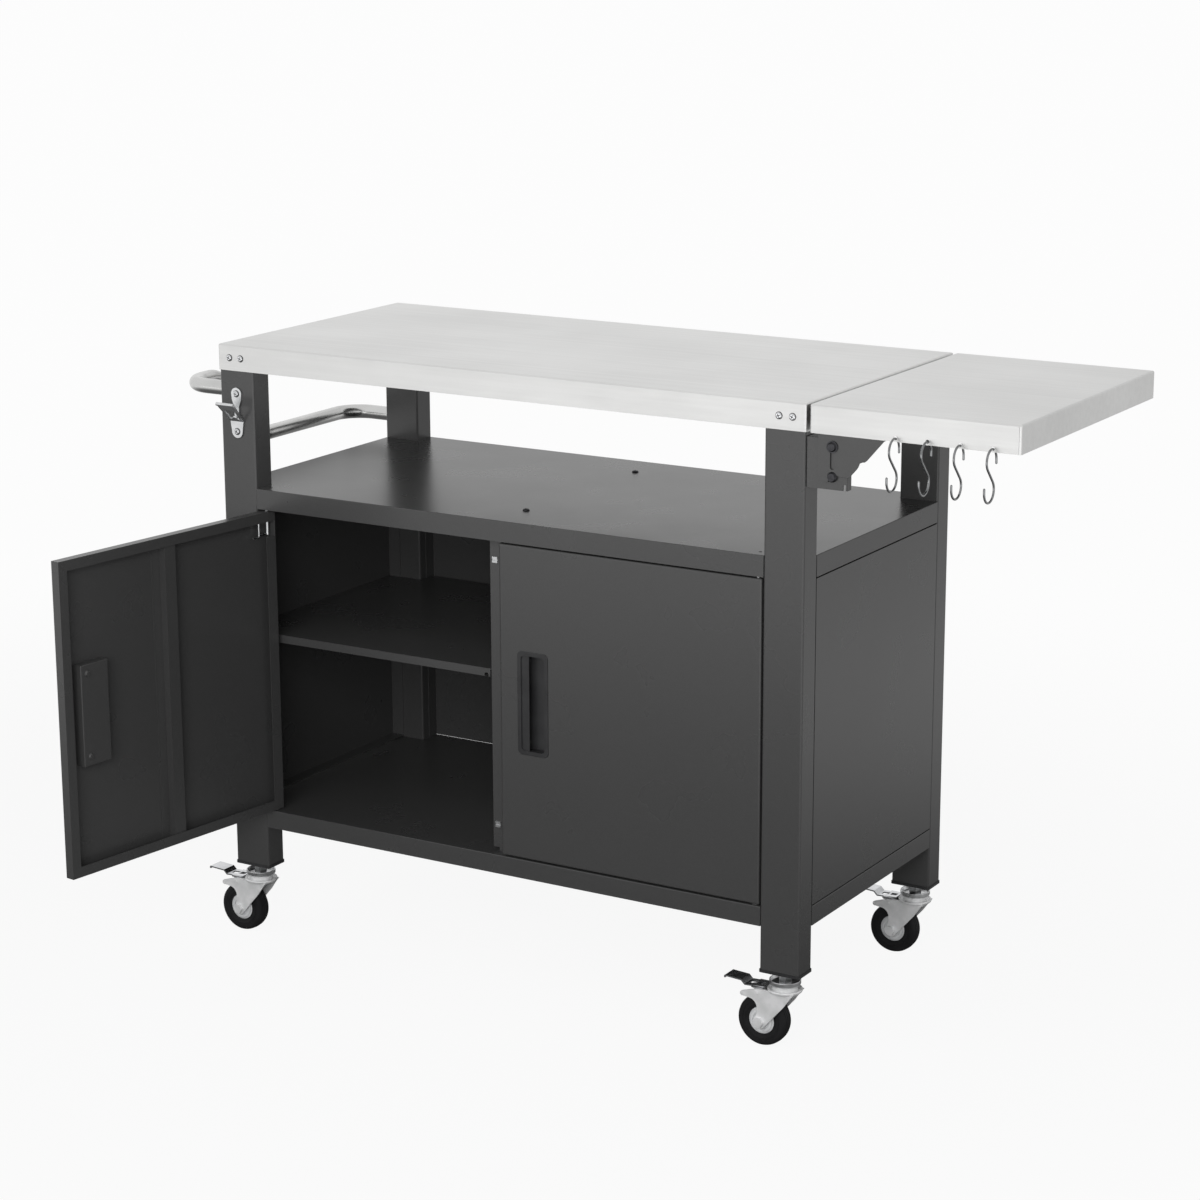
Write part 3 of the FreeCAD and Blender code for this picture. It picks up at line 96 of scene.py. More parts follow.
# Stainless sheet linished lengthwise with a fine belt: long faint lines along X and a satin gloss.
def linishedSheet(name, look):
    material, tree, place = startMaterial(name)
    lines = addNode(tree, "ShaderNodeMapping", None, {
        "Vector": place, "Scale": (look["stretch"], 1, 1)}).outputs[0]
    grain = addNode(tree, "ShaderNodeTexNoise", None, {"Vector": lines, "Scale": 1 / (look["grain"] * mm),
                                                       "Detail": 3.0, "Roughness": 0.6}).outputs["Fac"]
    streak = addNode(tree, "ShaderNodeTexNoise", None, {"Vector": lines, "Scale": 1 / (look["streak"] * mm),
                                                        "Detail": 2.0}).outputs["Fac"]
    cloud = addNode(tree, "ShaderNodeTexNoise", None, {"Vector": place, "Scale": 1 / (look["cloud"] * mm),
                                                       "Detail": 2.0}).outputs["Fac"]
    tone = addNode(tree, "ShaderNodeMix", {"data_type": "FLOAT"}, {
        "Factor": look["cloudShare"], 2: streak, 3: cloud}).outputs[0]
    endMaterial(tree, look, (tone, grain, grain), {"Metallic": 1.0})
    return material


# Stainless tube polished on a belt while it turns: fine rings round it, and a bright gloss.
def polishedTube(name, look):
    material, tree, place = startMaterial(name)
    along = addNode(tree, "ShaderNodeAttribute", {"attribute_name": "alongTube"}).outputs["Fac"]
    row = addNode(tree, "ShaderNodeCombineXYZ", None, {"X": along}).outputs[0]
    rings = addNode(tree, "ShaderNodeTexNoise", None, {"Vector": row, "Scale": 1 / (look["grain"] * mm),
                                                       "Detail": 3.0, "Roughness": 0.6}).outputs["Fac"]
    cloud = addNode(tree, "ShaderNodeTexNoise", None, {"Vector": place, "Scale": 1 / (look["cloud"] * mm),
                                                       "Detail": 2.0}).outputs["Fac"]
    endMaterial(tree, look, (cloud, rings, rings), {"Metallic": 1.0})
    return material


# Polyester powder baked on sheet steel: near-black grey, a slight orange peel and a low sheen.
def powderCoat(name, look):
    material, tree, place = startMaterial(name)
    peel = addNode(tree, "ShaderNodeTexNoise", None, {"Vector": place, "Scale": 1 / (look["grain"] * mm),
                                                      "Detail": 2.0}).outputs["Fac"]
    speck = addNode(tree, "ShaderNodeTexNoise", None, {"Vector": place, "Scale": 1 / (look["speck"] * mm),
                                                       "Detail": 1.0}).outputs["Fac"]
    drift = addNode(tree, "ShaderNodeTexNoise", None, {"Vector": place, "Scale": 1 / (look["cloud"] * mm),
                                                       "Detail": 3.0}).outputs["Fac"]
    endMaterial(tree, look, (speck, drift, peel), {"IOR": look["ior"]})
    return material


# Plated, dipped or oxidised in a bath: metal, a little cloudy. "metal" is 1 unless a milky film covers it.
def platedSteel(name, look):
    material, tree, place = startMaterial(name)
    cloud = addNode(tree, "ShaderNodeTexNoise", None, {"Vector": place, "Scale": 1 / (look["cloud"] * mm),
                                                       "Detail": 4.0}).outputs["Fac"]
    grain = addNode(tree, "ShaderNodeTexNoise", None, {"Vector": place, "Scale": 1 / (look["grain"] * mm),
                                                       "Detail": 2.0}).outputs["Fac"]
    endMaterial(tree, look, (cloud, cloud, grain), {"Metallic": look.get("metal", 1.0)})
    return material


# Moulded in a spark-eroded tool: one dull colour, drifting slightly, with a fine matt grain.
def mouldedPart(name, look):
    material, tree, place = startMaterial(name)
    grain = addNode(tree, "ShaderNodeTexNoise", None, {"Vector": place, "Scale": 1 / (look["grain"] * mm),
                                                       "Detail": 3.0}).outputs["Fac"]
    drift = addNode(tree, "ShaderNodeTexNoise", None, {"Vector": place, "Scale": 1 / (look["cloud"] * mm),
                                                       "Detail": 2.0}).outputs["Fac"]
    endMaterial(tree, look, (drift, grain, grain), {"IOR": look["ior"]})
    return material


# Pattern sizes are in mm: grain is the finest mark, cloud the widest drift. Real linishing lines lie
# 0.1 mm apart and are drawn 0.9 mm apart, the least that shows in the picture.
stainlessTop = linishedSheet("linishedStainless", {
    "grain": 0.9, "streak": 9.0, "stretch": 0.015, "cloud": 190.0, "cloudShare": 0.6, "rough": 0.38,
    "patchy": 0.04, "relief": 0.12, "depth": 0.02, "dark": "#d4d4d3", "light": "#dededd"})
# The tube's rings are drawn 0.8 mm apart for the same reason.
stainlessTube = polishedTube("polishedStainlessTube", {
    "grain": 0.8, "cloud": 60.0, "rough": 0.24, "patchy": 0.04, "relief": 0.12, "depth": 0.02,
    "dark": "#c2c2c1", "light": "#cfcfce"})
# Charcoal polyester powder: its orange peel is 1.4 mm across and its flecks half a millimetre.
charcoalCoat = powderCoat("charcoalPowderCoat", {
    "grain": 1.4, "speck": 0.5, "cloud": 90.0, "rough": 0.28, "patchy": 0.01, "relief": 0.2, "depth": 0.05,
    "dark": "#303030", "light": "#393939", "ior": 1.5})
# Bright zinc with a clear passivate: slightly blue, satin, clouded every 14 mm.
brightZinc = platedSteel("brightZincPlate", {
    "grain": 0.4, "cloud": 14.0, "rough": 0.3, "patchy": 0.04, "relief": 0.1, "depth": 0.02,
    "dark": "#c6c7c8", "light": "#dbdcdd"})
# Zinc on the pressed caster forks, satin from the barrel it was tumbled in, under a milky passivate that
# is only half metal to the eye: pale and soft.
satinZinc = platedSteel("satinZincPlate", {
    "grain": 0.5, "cloud": 16.0, "rough": 0.58, "patchy": 0.05, "relief": 0.15, "depth": 0.03,
    "dark": "#dcdddd", "light": "#ebebec", "metal": 0.65})
# Nickel on drawn wire: bright lines between darker flanks. Its colour is kept darker than nickel's: painted
# shade standing in for the dark surroundings the wire would mirror.
nickelWire = platedSteel("nickelPlatedWire", {
    "grain": 0.4, "cloud": 8.0, "rough": 0.14, "patchy": 0.03, "relief": 0.05, "depth": 0.01,
    "dark": "#7c7d7e", "light": "#909192"})
# Hot-dip galvanised strip under the tops: duller and greyer than the fittings.
galvanisedStrip = platedSteel("galvanisedStrip", {
    "grain": 1.0, "cloud": 9.0, "rough": 0.42, "patchy": 0.04, "relief": 0.15, "depth": 0.03,
    "dark": "#9a9c9d", "light": "#b4b6b7"})
# Chrome on screw heads and brake pedals: almost a mirror, so it shows the dark cabinet or the white room.
chromePlate = platedSteel("chromePlate", {
    "grain": 0.4, "cloud": 20.0, "rough": 0.18, "patchy": 0.04, "relief": 0.04, "depth": 0.01,
    "dark": "#c6c7c9", "light": "#d6d7d9"})
# Black oxide on steel screws: dark metal with an oily gleam.
blackOxide = platedSteel("blackOxideSteel", {
    "grain": 0.4, "cloud": 5.0, "rough": 0.38, "patchy": 0.04, "relief": 0.1, "depth": 0.02,
    "dark": "#3a3a3c", "light": "#4c4c4f"})
# Glass-filled nylon of the caps and pulls: black with a fine spark grain.
blackNylon = mouldedPart("blackGlassFilledNylon", {
    "grain": 0.5, "cloud": 30.0, "rough": 0.46, "patchy": 0.04, "relief": 0.3, "depth": 0.04,
    "dark": "#1a1a1b", "light": "#212122", "ior": 1.53})
# Moulded rubber of the tyres: black and matt.
tyreRubber = mouldedPart("mouldedTyreRubber", {
    "grain": 0.6, "cloud": 18.0, "rough": 0.78, "patchy": 0.04, "relief": 0.35, "depth": 0.05,
    "dark": "#0f0f10", "light": "#151516", "ior": 1.4})
# Polypropylene of the wheel hubs: light grey with a soft sheen.
hubPlastic = mouldedPart("hubPolypropylene", {
    "grain": 0.5, "cloud": 12.0, "rough": 0.44, "patchy": 0.04, "relief": 0.2, "depth": 0.04,
    "dark": "#a9aaab", "light": "#b8b9ba", "ior": 1.49})
# Painted shade in the gap round a screw head and in its recess: unlit black, standing in for the shadow that
# falls there.
paintedGapShade = mouldedPart("paintedShadeInGaps", {
    "grain": 0.3, "cloud": 3.0, "rough": 0.7, "patchy": 0.04, "relief": 0.2, "depth": 0.03,
    "dark": "#060606", "light": "#0b0b0b", "ior": 1.5})
print("materials made")

nodeFinish = {
    "worktop": stainlessTop, "side_leaf": stainlessTop,
    "worktop_stiffeners": galvanisedStrip, "leaf_stiffener": galvanisedStrip,
    "rail_bolts": brightZinc, "leaf_stop_screws": blackOxide, "leaf_pivot_screws": blackOxide,
    "leg_end_caps": blackNylon, "door_catches": brightZinc,
}
for nodeName, nodeObject in nodes.items():
    finish = nodeFinish.get(nodeName)
    if finish is None:
        if nodeName.startswith("caster_fork"):
            finish = satinZinc
        elif nodeName.startswith("brake_pedal"):
            finish = chromePlate
        elif nodeName.startswith(("caster", "s_hook", "bright", "bottle", "side_rail")):
            finish = brightZinc
        elif nodeName.endswith("_spring_pin"):
            finish = brightZinc
        elif nodeName.endswith("_pull"):
            finish = blackNylon
        else:
            finish = charcoalCoat
    nodeObject.data.materials.clear()
    nodeObject.data.materials.append(finish)


def newPiece(name, mesh):
    piece = bpy.data.objects.new(name, mesh)
    bpy.context.scene.collection.objects.link(piece)
    return piece


# A geometry tree with one geometry in, one out, and the named inputs.
def startGeometryTree(name, sockets):
    tree = bpy.data.node_groups.new(name, "GeometryNodeTree")
    tree.interface.new_socket("Geometry", in_out="INPUT", socket_type="NodeSocketGeometry")
    for label, kind in sockets:
        tree.interface.new_socket(label, in_out="INPUT", socket_type="NodeSocket" + kind)
    tree.interface.new_socket("Geometry", in_out="OUTPUT", socket_type="NodeSocketGeometry")
    return tree, addNode(tree, "NodeGroupInput").outputs


# Runs a tree on a mesh and keeps the result as the piece's own plain mesh.
def growPiece(name, mesh, tree, values):
    piece = newPiece(name, mesh)
    modifier = piece.modifiers.new(tree.name, "NODES")
    modifier.node_group = tree
    for item in tree.interface.items_tree:
        if item.in_out == "INPUT" and item.name in values:
            modifier[item.identifier] = values[item.name]
    bpy.context.view_layer.update()
    grown = bpy.data.meshes.new_from_object(piece.evaluated_get(bpy.context.evaluated_depsgraph_get()))
    while len(grown.materials) and grown.materials[0] is None:
        grown.materials.pop(index=0)
    piece.modifiers.clear()
    piece.data = grown
    return piece


# Each ring of a screw's head rises by a share of the head's height and draws in by a factor. The two bars
# that cut the recess are centred on the crown; their length is a share of the head's radius, and their
# height of its height. The merge distance and the shade ring are in mm; the shade ring is a thin disc under
# the head's foot, painted black as shade.
screwHead = {"rings": ((0.4, 1.0), (0.27, 0.95), (0.2, 0.88), (0.13, 0.78)), "sides": 24, "merge": 0.01,
             "barLength": 1.15, "barHeight": 1.1, "shadeRing": 0.3}


# Pan-head screws with a cross recess: one stands on each point and faces along its "facing" direction.
def panHeadTree(form):
    tree, given = startGeometryTree("panHeads", [
        ("Head Radius", "Float"), ("Head Height", "Float"), ("Recess Width", "Float"), ("Gap", "Float"),
        ("Seed", "Int"), ("Head Finish", "Material"), ("Painted Shade Finish", "Material")])
    radius, height = given["Head Radius"], given["Head Height"]
    disc = addNode(tree, "GeometryNodeMeshCircle", {"fill_type": "NGON"}, {
        "Vertices": form["sides"], "Radius": radius})
    under = addNode(tree, "GeometryNodeFlipFaces", None, {"Mesh": disc.outputs[0]})
    shape, top = disc.outputs[0], None
    for rise, shrink in form["rings"]:
        lift = addNode(tree, "ShaderNodeMath", {"operation": "MULTIPLY"}, {0: height, 1: rise})
        step = addNode(tree, "GeometryNodeExtrudeMesh", {"mode": "FACES"},
                       {"Mesh": shape, "Offset Scale": lift.outputs[0], "Individual": False})
        if top is not None:
            tree.links.new(top, step.inputs["Selection"])
        top = step.outputs["Top"]
        shape = addNode(tree, "GeometryNodeScaleElements", None,
                        {"Geometry": step.outputs["Mesh"], "Selection": top, "Scale": shrink}).outputs[0]
    head = addNode(tree, "GeometryNodeJoinGeometry", None, {0: shape})
    tree.links.new(under.outputs[0], head.inputs[0])
    closed = addNode(tree, "GeometryNodeMergeByDistance", None, {
        "Geometry": head.outputs[0], "Distance": form["merge"] * mm})
    reach = addNode(tree, "ShaderNodeMath", {"operation": "MULTIPLY"}, {0: radius, 1: form["barLength"]})
    sink = addNode(tree, "ShaderNodeMath", {"operation": "MULTIPLY"}, {0: height, 1: form["barHeight"]})
    crown = addNode(tree, "ShaderNodeCombineXYZ", None, {2: height})
    cut = addNode(tree, "GeometryNodeMeshBoolean", {"operation": "DIFFERENCE", "solver": "EXACT"},
                  {"Mesh 1": closed.outputs[0]})
    for across in (0, 1):
        size = addNode(tree, "ShaderNodeCombineXYZ", None, {
            across: reach.outputs[0], 1 - across: given["Recess Width"], 2: sink.outputs[0]})
        bar = addNode(tree, "GeometryNodeMeshCube", None, {"Size": size.outputs[0]})
        raised = addNode(tree, "GeometryNodeTransform", None, {
            "Geometry": bar.outputs[0], "Translation": crown.outputs[0]})
        # The recess's faces are marked to be painted black: painted shade inside the recess.
        cutter = addNode(tree, "GeometryNodeStoreNamedAttribute", {"data_type": "BOOLEAN", "domain": "FACE"},
                         {"Geometry": raised.outputs[0], "Name": "paintedShadeMask", "Value": True})
        tree.links.new(cutter.outputs[0], cut.inputs["Mesh 2"])
    # A thin disc just wider than the head, under its foot: painted shade in the gap round the head.
    wide = addNode(tree, "ShaderNodeMath", {"operation": "ADD"}, {0: radius, 1: given["Gap"]})
    shadeRing = addNode(tree, "GeometryNodeMeshCylinder", None, {
        "Vertices": form["sides"], "Radius": wide.outputs[0], "Depth": form["shadeRing"] * mm})
    seated = addNode(tree, "GeometryNodeTransform", None, {
        "Geometry": shadeRing.outputs[0], "Translation": (0, 0, form["shadeRing"] / 2 * mm)})
    darkGap = addNode(tree, "GeometryNodeStoreNamedAttribute", {"data_type": "BOOLEAN", "domain": "FACE"},
                      {"Geometry": seated.outputs[0], "Name": "paintedShadeMask", "Value": True})
    screw = addNode(tree, "GeometryNodeJoinGeometry", None, {0: cut.outputs[0]})
    tree.links.new(darkGap.outputs[0], screw.inputs[0])
    facing = addNode(tree, "GeometryNodeInputNamedAttribute", {"data_type": "FLOAT_VECTOR"}, {
        "Name": "facing"})
    stand = addNode(tree, "FunctionNodeAlignRotationToVector", {"axis": "Z"}, {"Vector": facing.outputs[0]})
    turn = addNode(tree, "FunctionNodeRandomValue", {"data_type": "FLOAT"}, {
        2: 0.0, 3: math.pi / 2, "Seed": given["Seed"]})
    spin = addNode(tree, "FunctionNodeAxisAngleToRotation", None, {
        "Axis": (0, 0, 1), "Angle": turn.outputs[1]})
    placed = addNode(tree, "FunctionNodeRotateRotation", {"rotation_space": "LOCAL"},
                     {0: stand.outputs[0], 1: spin.outputs[0]})
    copies = addNode(tree, "GeometryNodeInstanceOnPoints", None, {
        "Points": given["Geometry"], "Instance": screw.outputs[0], "Rotation": placed.outputs[0]})
    real = addNode(tree, "GeometryNodeRealizeInstances", None, {"Geometry": copies.outputs[0]})
    plated = addNode(tree, "GeometryNodeSetMaterial", None, {
        "Geometry": real.outputs[0], "Material": given["Head Finish"]})
    # The marked faces, recess and disc, get the unlit black of painted shade.
    paintedShadeMask = addNode(tree, "GeometryNodeInputNamedAttribute", {"data_type": "BOOLEAN"}, {"Name": "paintedShadeMask"})
    done = addNode(tree, "GeometryNodeSetMaterial", None, {
        "Geometry": plated.outputs[0], "Selection": paintedShadeMask.outputs[0], "Material": given["Painted Shade Finish"]})
    addNode(tree, "NodeGroupOutput", None, {0: done.outputs[0]})
    return tree


# Each place is a point in mm and the way the screw's head faces.
def facingPoints(name, places):
    mesh = bpy.data.meshes.new(name)
    mesh.from_pydata([Vector(at) * mm for at, facing in places], [], [])
    facings = mesh.attributes.new("facing", "FLOAT_VECTOR", "POINT")
    for index, (at, facing) in enumerate(places):
        facings.data[index].vector = facing
    return mesh


# Places in mm: bright screws on the worktop's aprons and the opener, black ones on the storage top and on
# the flanges of the leaf's brackets.
screwRows = {"apronX": (460.0, 440.0), "apronY": 228.5, "apronZ": 888.5,
             "openerX": -448.8, "openerY": -229.8, "openerZ": (836.55, 780.85),
             "storageY": 152.5, "storageZ": 698.0,
             "flangeX": 480.8, "flangeY": 208.3, "flangeZ": (852.2, 808.9),
             # The gap is how far the painted shade ring reaches past the head.
             "headRadius": 4.6, "headHeight": 2.6, "recessWidth": 1.1, "gap": 0.6}


def makeScrews(rows):
    bright = [((side * x, face * rows["apronY"], rows["apronZ"]), (0, face, 0))
              for side in (-1, 1) for x in rows["apronX"] for face in (-1, 1)]
    bright += [((rows["openerX"], rows["openerY"], z), (0, -1, 0)) for z in rows["openerZ"]]
    dark = [((0, side * rows["storageY"], rows["storageZ"]), (0, 0, 1)) for side in (-1, 1)]
    dark += [((rows["flangeX"], side * rows["flangeY"], z), (1, 0, 0))
             for side in (-1, 1) for z in rows["flangeZ"]]
    tree = panHeadTree(screwHead)
    sizes = {"Head Radius": rows["headRadius"] * mm, "Head Height": rows["headHeight"] * mm,
             "Recess Width": rows["recessWidth"] * mm, "Gap": rows["gap"] * mm, "Painted Shade Finish": paintedGapShade}
    for name, places, finish, seed, node in (("plated_screws", bright, chromePlate, 4, "bright_screws"),
                                             ("black_screws", dark, blackOxide, 9, "dark_screws")):
        sizes.update({"Seed": seed, "Head Finish": finish})
        piece = growPiece(name, facingPoints(name, places), tree, sizes)
        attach(piece, "frame")
        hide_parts(node)


makeScrews(screwRows)
print("screws made")


barShape = {"sides": 28, "ballSteps": 3}


# Round wire or tube along the points of a chain, its corners rounded, its ends flat or ball-shaped.
def bentBarTree(shape):
    tree, given = startGeometryTree("bentBar", [
        ("Bar Radius", "Float"), ("Round Corners", "Bool"), ("Corner Steps", "Int"), ("Round Ends", "Bool"),
        ("Finish", "Material")])
    chain = addNode(tree, "GeometryNodeMeshToCurve", None, {"Mesh": given["Geometry"]})
    bends = addNode(tree, "GeometryNodeInputNamedAttribute", {"data_type": "FLOAT"}, {"Name": "bendRadius"})
    rounded = addNode(tree, "GeometryNodeFilletCurve", {"mode": "POLY"}, {
        "Curve": chain.outputs[0], "Radius": bends.outputs[0], "Count": given["Corner Steps"]})
    line = addNode(tree, "GeometryNodeSwitch", {"input_type": "GEOMETRY"}, {
        "Switch": given["Round Corners"], "False": chain.outputs[0], "True": rounded.outputs[0]})
    way = addNode(tree, "GeometryNodeSplineParameter").outputs["Length"]
    marked = addNode(tree, "GeometryNodeStoreNamedAttribute", {"data_type": "FLOAT", "domain": "POINT"},
                     {"Geometry": line.outputs[0], "Name": "alongTube", "Value": way})
    section = addNode(tree, "GeometryNodeCurvePrimitiveCircle", None, {
        "Resolution": shape["sides"], "Radius": given["Bar Radius"]})
    skin = addNode(tree, "GeometryNodeCurveToMesh", None, {
        "Curve": marked.outputs[0], "Profile Curve": section.outputs[0], "Fill Caps": True})
    tips = addNode(tree, "GeometryNodeCurveEndpointSelection").outputs[0]
    chosen = addNode(tree, "FunctionNodeBooleanMath", {"operation": "AND"}, {0: tips, 1: given["Round Ends"]})
    ball = addNode(tree, "GeometryNodeMeshIcoSphere", None, {
        "Radius": given["Bar Radius"], "Subdivisions": shape["ballSteps"]})
    ends = addNode(tree, "GeometryNodeInstanceOnPoints", None, {
        "Points": marked.outputs[0], "Selection": chosen.outputs[0], "Instance": ball.outputs[0]})
    both = addNode(tree, "GeometryNodeJoinGeometry", None, {0: skin.outputs[0]})
    tree.links.new(ends.outputs[0], both.inputs[0])
    real = addNode(tree, "GeometryNodeRealizeInstances", None, {"Geometry": both.outputs[0]})
    smooth = addNode(tree, "GeometryNodeSetShadeSmooth", None, {
        "Geometry": real.outputs[0], "Shade Smooth": True})
    done = addNode(tree, "GeometryNodeSetMaterial", None, {
        "Geometry": smooth.outputs[0], "Material": given["Finish"]})
    addNode(tree, "NodeGroupOutput", None, {0: done.outputs[0]})
    return tree


# A chain of edges through points in mm; a fourth number is the corner's bend radius.
def chainMesh(name, points):
    mesh = bpy.data.meshes.new(name)
    links = [(i, i + 1) for i in range(len(points) - 1)]
    mesh.from_pydata([Vector(point[:3]) * mm for point in points], links, [])
    bends = mesh.attributes.new("bendRadius", "FLOAT", "POINT")
    for index, point in enumerate(points):
        bends.data[index].value = (point[3] if len(point) > 3 else 0.0) * mm
    return mesh


barTree = bentBarTree(barShape)
# The rail in mm: out from the front leg, down a crank on its long side, and back in to the rear leg.
railTube = {"wallX": -478.8, "outX": -559.8, "endY": 208.3, "frontZ": 839.0, "rearZ": 732.0,
            "crankStart": -131.3, "crankEnd": -27.97, "cornerRadius": 42.0, "crankRadius": 45.0,
            "radius": 11.0, "cornerSteps": 14}


def makeRail(rail):
    corner, crank = rail["cornerRadius"], rail["crankRadius"]
    route = [(rail["wallX"], -rail["endY"], rail["frontZ"]),
             (rail["outX"], -rail["endY"], rail["frontZ"], corner),
             (rail["outX"], rail["crankStart"], rail["frontZ"], crank),
             (rail["outX"], rail["crankEnd"], rail["rearZ"], crank),
             (rail["outX"], rail["endY"], rail["rearZ"], corner),
             (rail["wallX"], rail["endY"], rail["rearZ"])]
    piece = growPiece("side_rail_tube", chainMesh("side_rail_tube", route), barTree, {
        "Bar Radius": rail["radius"] * mm, "Round Corners": True, "Corner Steps": rail["cornerSteps"],
        "Round Ends": False, "Finish": stainlessTube})
    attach(piece, "frame")
    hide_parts("side_rail")


makeRail(railTube)

# The hook's wire: a tail, a loop over the leaf's edge, a straight back and a loop below, ending in a tail.
hookWire = {"radius": 1.5, "loop": 15.0, "height": 68.0, "tail": 5.0, "offset": 2.8, "lean": 5.6,
            "edgeY": -228.5, "steps": 18}


def makeHook(index, hook):
    low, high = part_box("s_hook_%d" % index)
    x, topZ, loop = (low.x + high.x) / 2 / mm, high.z / mm - hook["radius"], hook["loop"]
    upper = (hook["edgeY"] - hook["offset"], topZ - loop)
    lower = (upper[0] - hook["lean"], topZ - hook["height"] + loop)
    across, drop = lower[0] - upper[0], lower[1] - upper[1]
    leave = math.atan2(drop, across) - math.acos(2 * loop / math.hypot(across, drop)) + 2 * math.pi
    line = [(x, upper[0] + loop, upper[1] - hook["tail"])]
    for centre, first, last in ((upper, 0.0, leave), (lower, leave - math.pi, -math.pi)):
        for step in range(hook["steps"] + 1):
            angle = first + (last - first) * step / hook["steps"]
            line.append((x, centre[0] + loop * math.cos(angle), centre[1] + loop * math.sin(angle)))
    line.append((x, lower[0] - loop, lower[1] + hook["tail"]))
    name = "hook_wire_%d" % index
    piece = growPiece(name, chainMesh(name, line), barTree, {
        "Bar Radius": hook["radius"] * mm, "Round Corners": False, "Corner Steps": 1, "Round Ends": True,
        "Finish": nickelWire})
    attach(piece, "hook_%d" % index)
    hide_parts("s_hook_%d" % index)


for hookNumber in (1, 2, 3, 4):
    makeHook(hookNumber, hookWire)

# Weld beads behind the ends of the bottom panel's front and rear aprons, which stop at the legs' round
# corners. The side aprons have none, and let a little light through there.
weldBead = {"radius": 1.6, "x": 417.1, "y": 222.9, "lowZ": 181.2, "highZ": 202.8}


def makeBeads(bead):
    for sideX, sideName in ((-1, "left"), (1, "right")):
        for sideY, endName in ((-1, "front"), (1, "rear")):
            name = "weld_bead_%s_%s" % (endName, sideName)
            line = [(sideX * bead["x"], sideY * bead["y"], z) for z in (bead["lowZ"], bead["highZ"])]
            piece = growPiece(name, chainMesh(name, line), barTree, {
                "Bar Radius": bead["radius"] * mm, "Round Corners": False, "Corner Steps": 1,
                "Round Ends": True, "Finish": charcoalCoat})
            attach(piece, "frame")


makeBeads(weldBead)
print("rail, hooks and beads made")


# Half a section (radius, distance across) is mirrored and turned about the axle, which lies along Y.
def turnedPiece(name, halfSection, centre, wheel, finish):
    section = list(halfSection) + [(r, -across) for r, across in reversed(halfSection) if across != 0]
    work = bmesh.new()
    rings = []
    for step in range(wheel["steps"]):
        angle = 2 * math.pi * step / wheel["steps"]
        rings.append([work.verts.new(centre + Vector((r * math.cos(angle), across, r * math.sin(angle))) * mm)
                      for r, across in section])
    for here, after in zip(rings, rings[1:] + rings[:1]):
        for k in range(len(section)):
            following = (k + 1) % len(section)
            work.faces.new((here[k], here[following], after[following], after[k])).smooth = True
    bmesh.ops.recalc_face_normals(work, faces=work.faces)
    mesh = bpy.data.meshes.new(name)
    work.to_mesh(mesh)
    work.free()
    mesh.set_sharp_from_angle(angle=math.radians(wheel["sharpAngle"]))
    mesh.materials.append(finish)
    return newPiece(name, mesh)


# Sections in mm from the axle's centre line: (radius, distance across from the middle of the wheel).
casterWheel = {
    "steps": 64, "sharpAngle": 32,
    "tyre": [(19.5, -10.0), (23.5, -10.8), (25.0, -12.0), (27.3, -12.0), (27.6, -11.5), (28.3, -11.5),
             (28.6, -12.0), (31.5, -12.0), (34.2, -11.2), (35.9, -9.6), (36.7, -7.4), (36.95, -6.6),
             (36.4, -6.3), (36.4, -5.5), (37.05, -5.2), (37.3, -3.1), (36.75, -2.8), (36.75, -2.0),
             (37.4, -1.7), (37.5, 0.0)],
    "hub": [(4.2, -13.5), (8.0, -13.5), (8.5, -13.0), (9.0, -11.4), (10.8, -11.5), (11.2, -10.4),
            (12.4, -10.4), (12.8, -11.6), (15.5, -11.8), (16.6, -11.4), (17.0, -10.0), (19.5, -9.0)],
}


def makeWheel(corner, wheel):
    low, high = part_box("caster_wheel_" + corner)
    centre = (low + high) / 2
    for part, finish in (("tyre", tyreRubber), ("hub", hubPlastic)):
        piece = turnedPiece(part + "_" + corner, wheel[part], centre, wheel, finish)
        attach(piece, "wheel_" + corner)
        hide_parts("caster_wheel_" + corner)


for wheelCorner in ("front_left", "front_right", "rear_left", "rear_right"):
    makeWheel(wheelCorner, casterWheel)
print("wheels made")


# Sizes in mm and angles in degrees for the copies below.
easing = {"merge": 0.002, "flatAngle": 0.5, "edgeAngle": 40, "segments": 2}


# A merged copy of a CAD node with eased edges; whatever lies near its foot can be let down.
def easedCopy(name, node, body, look):
    mesh = nodes[node].data.copy()
    mesh.materials.clear()
    mesh.materials.append(look["finish"])
    work = bmesh.new()
    work.from_mesh(mesh)
    bmesh.ops.remove_doubles(work, verts=work.verts, dist=easing["merge"] * mm)
    bmesh.ops.dissolve_limit(work, angle_limit=math.radians(easing["flatAngle"]), verts=work.verts,
                             edges=work.edges)
    foot = min(vert.co.z for vert in work.verts)
    for vert in work.verts:
        if vert.co.z < foot + look.get("footBand", 0.0) * mm:
            vert.co.z -= look.get("footDrop", 0.0) * mm
    for face in work.faces:
        face.material_index = 0
        face.smooth = False
    work.to_mesh(mesh)
    work.free()
    piece = newPiece(name, mesh)
    ease = piece.modifiers.new("easedEdges", "BEVEL")
    ease.width, ease.segments, ease.limit_method = look["ease"] * mm, easing["segments"], "ANGLE"
    ease.angle_limit = math.radians(easing["edgeAngle"])
    bpy.context.view_layer.update()
    eased = bpy.data.meshes.new_from_object(piece.evaluated_get(bpy.context.evaluated_depsgraph_get()))
    piece.modifiers.clear()
    piece.data = eased
    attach(piece, body)
    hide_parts(node)


# Cover boxes behind the pulls, coated with their screws, and the moulded pulls themselves.
pullCover = {"finish": charcoalCoat, "ease": 0.4}
mouldedPull = {"finish": blackNylon, "ease": 0.3}
for side in ("left", "right"):
    easedCopy("pull_cover_eased_" + side, "door_%s_pull_cover" % side, "door_" + side, pullCover)
    easedCopy("pull_eased_" + side, "door_%s_pull" % side, "door_" + side, mouldedPull)
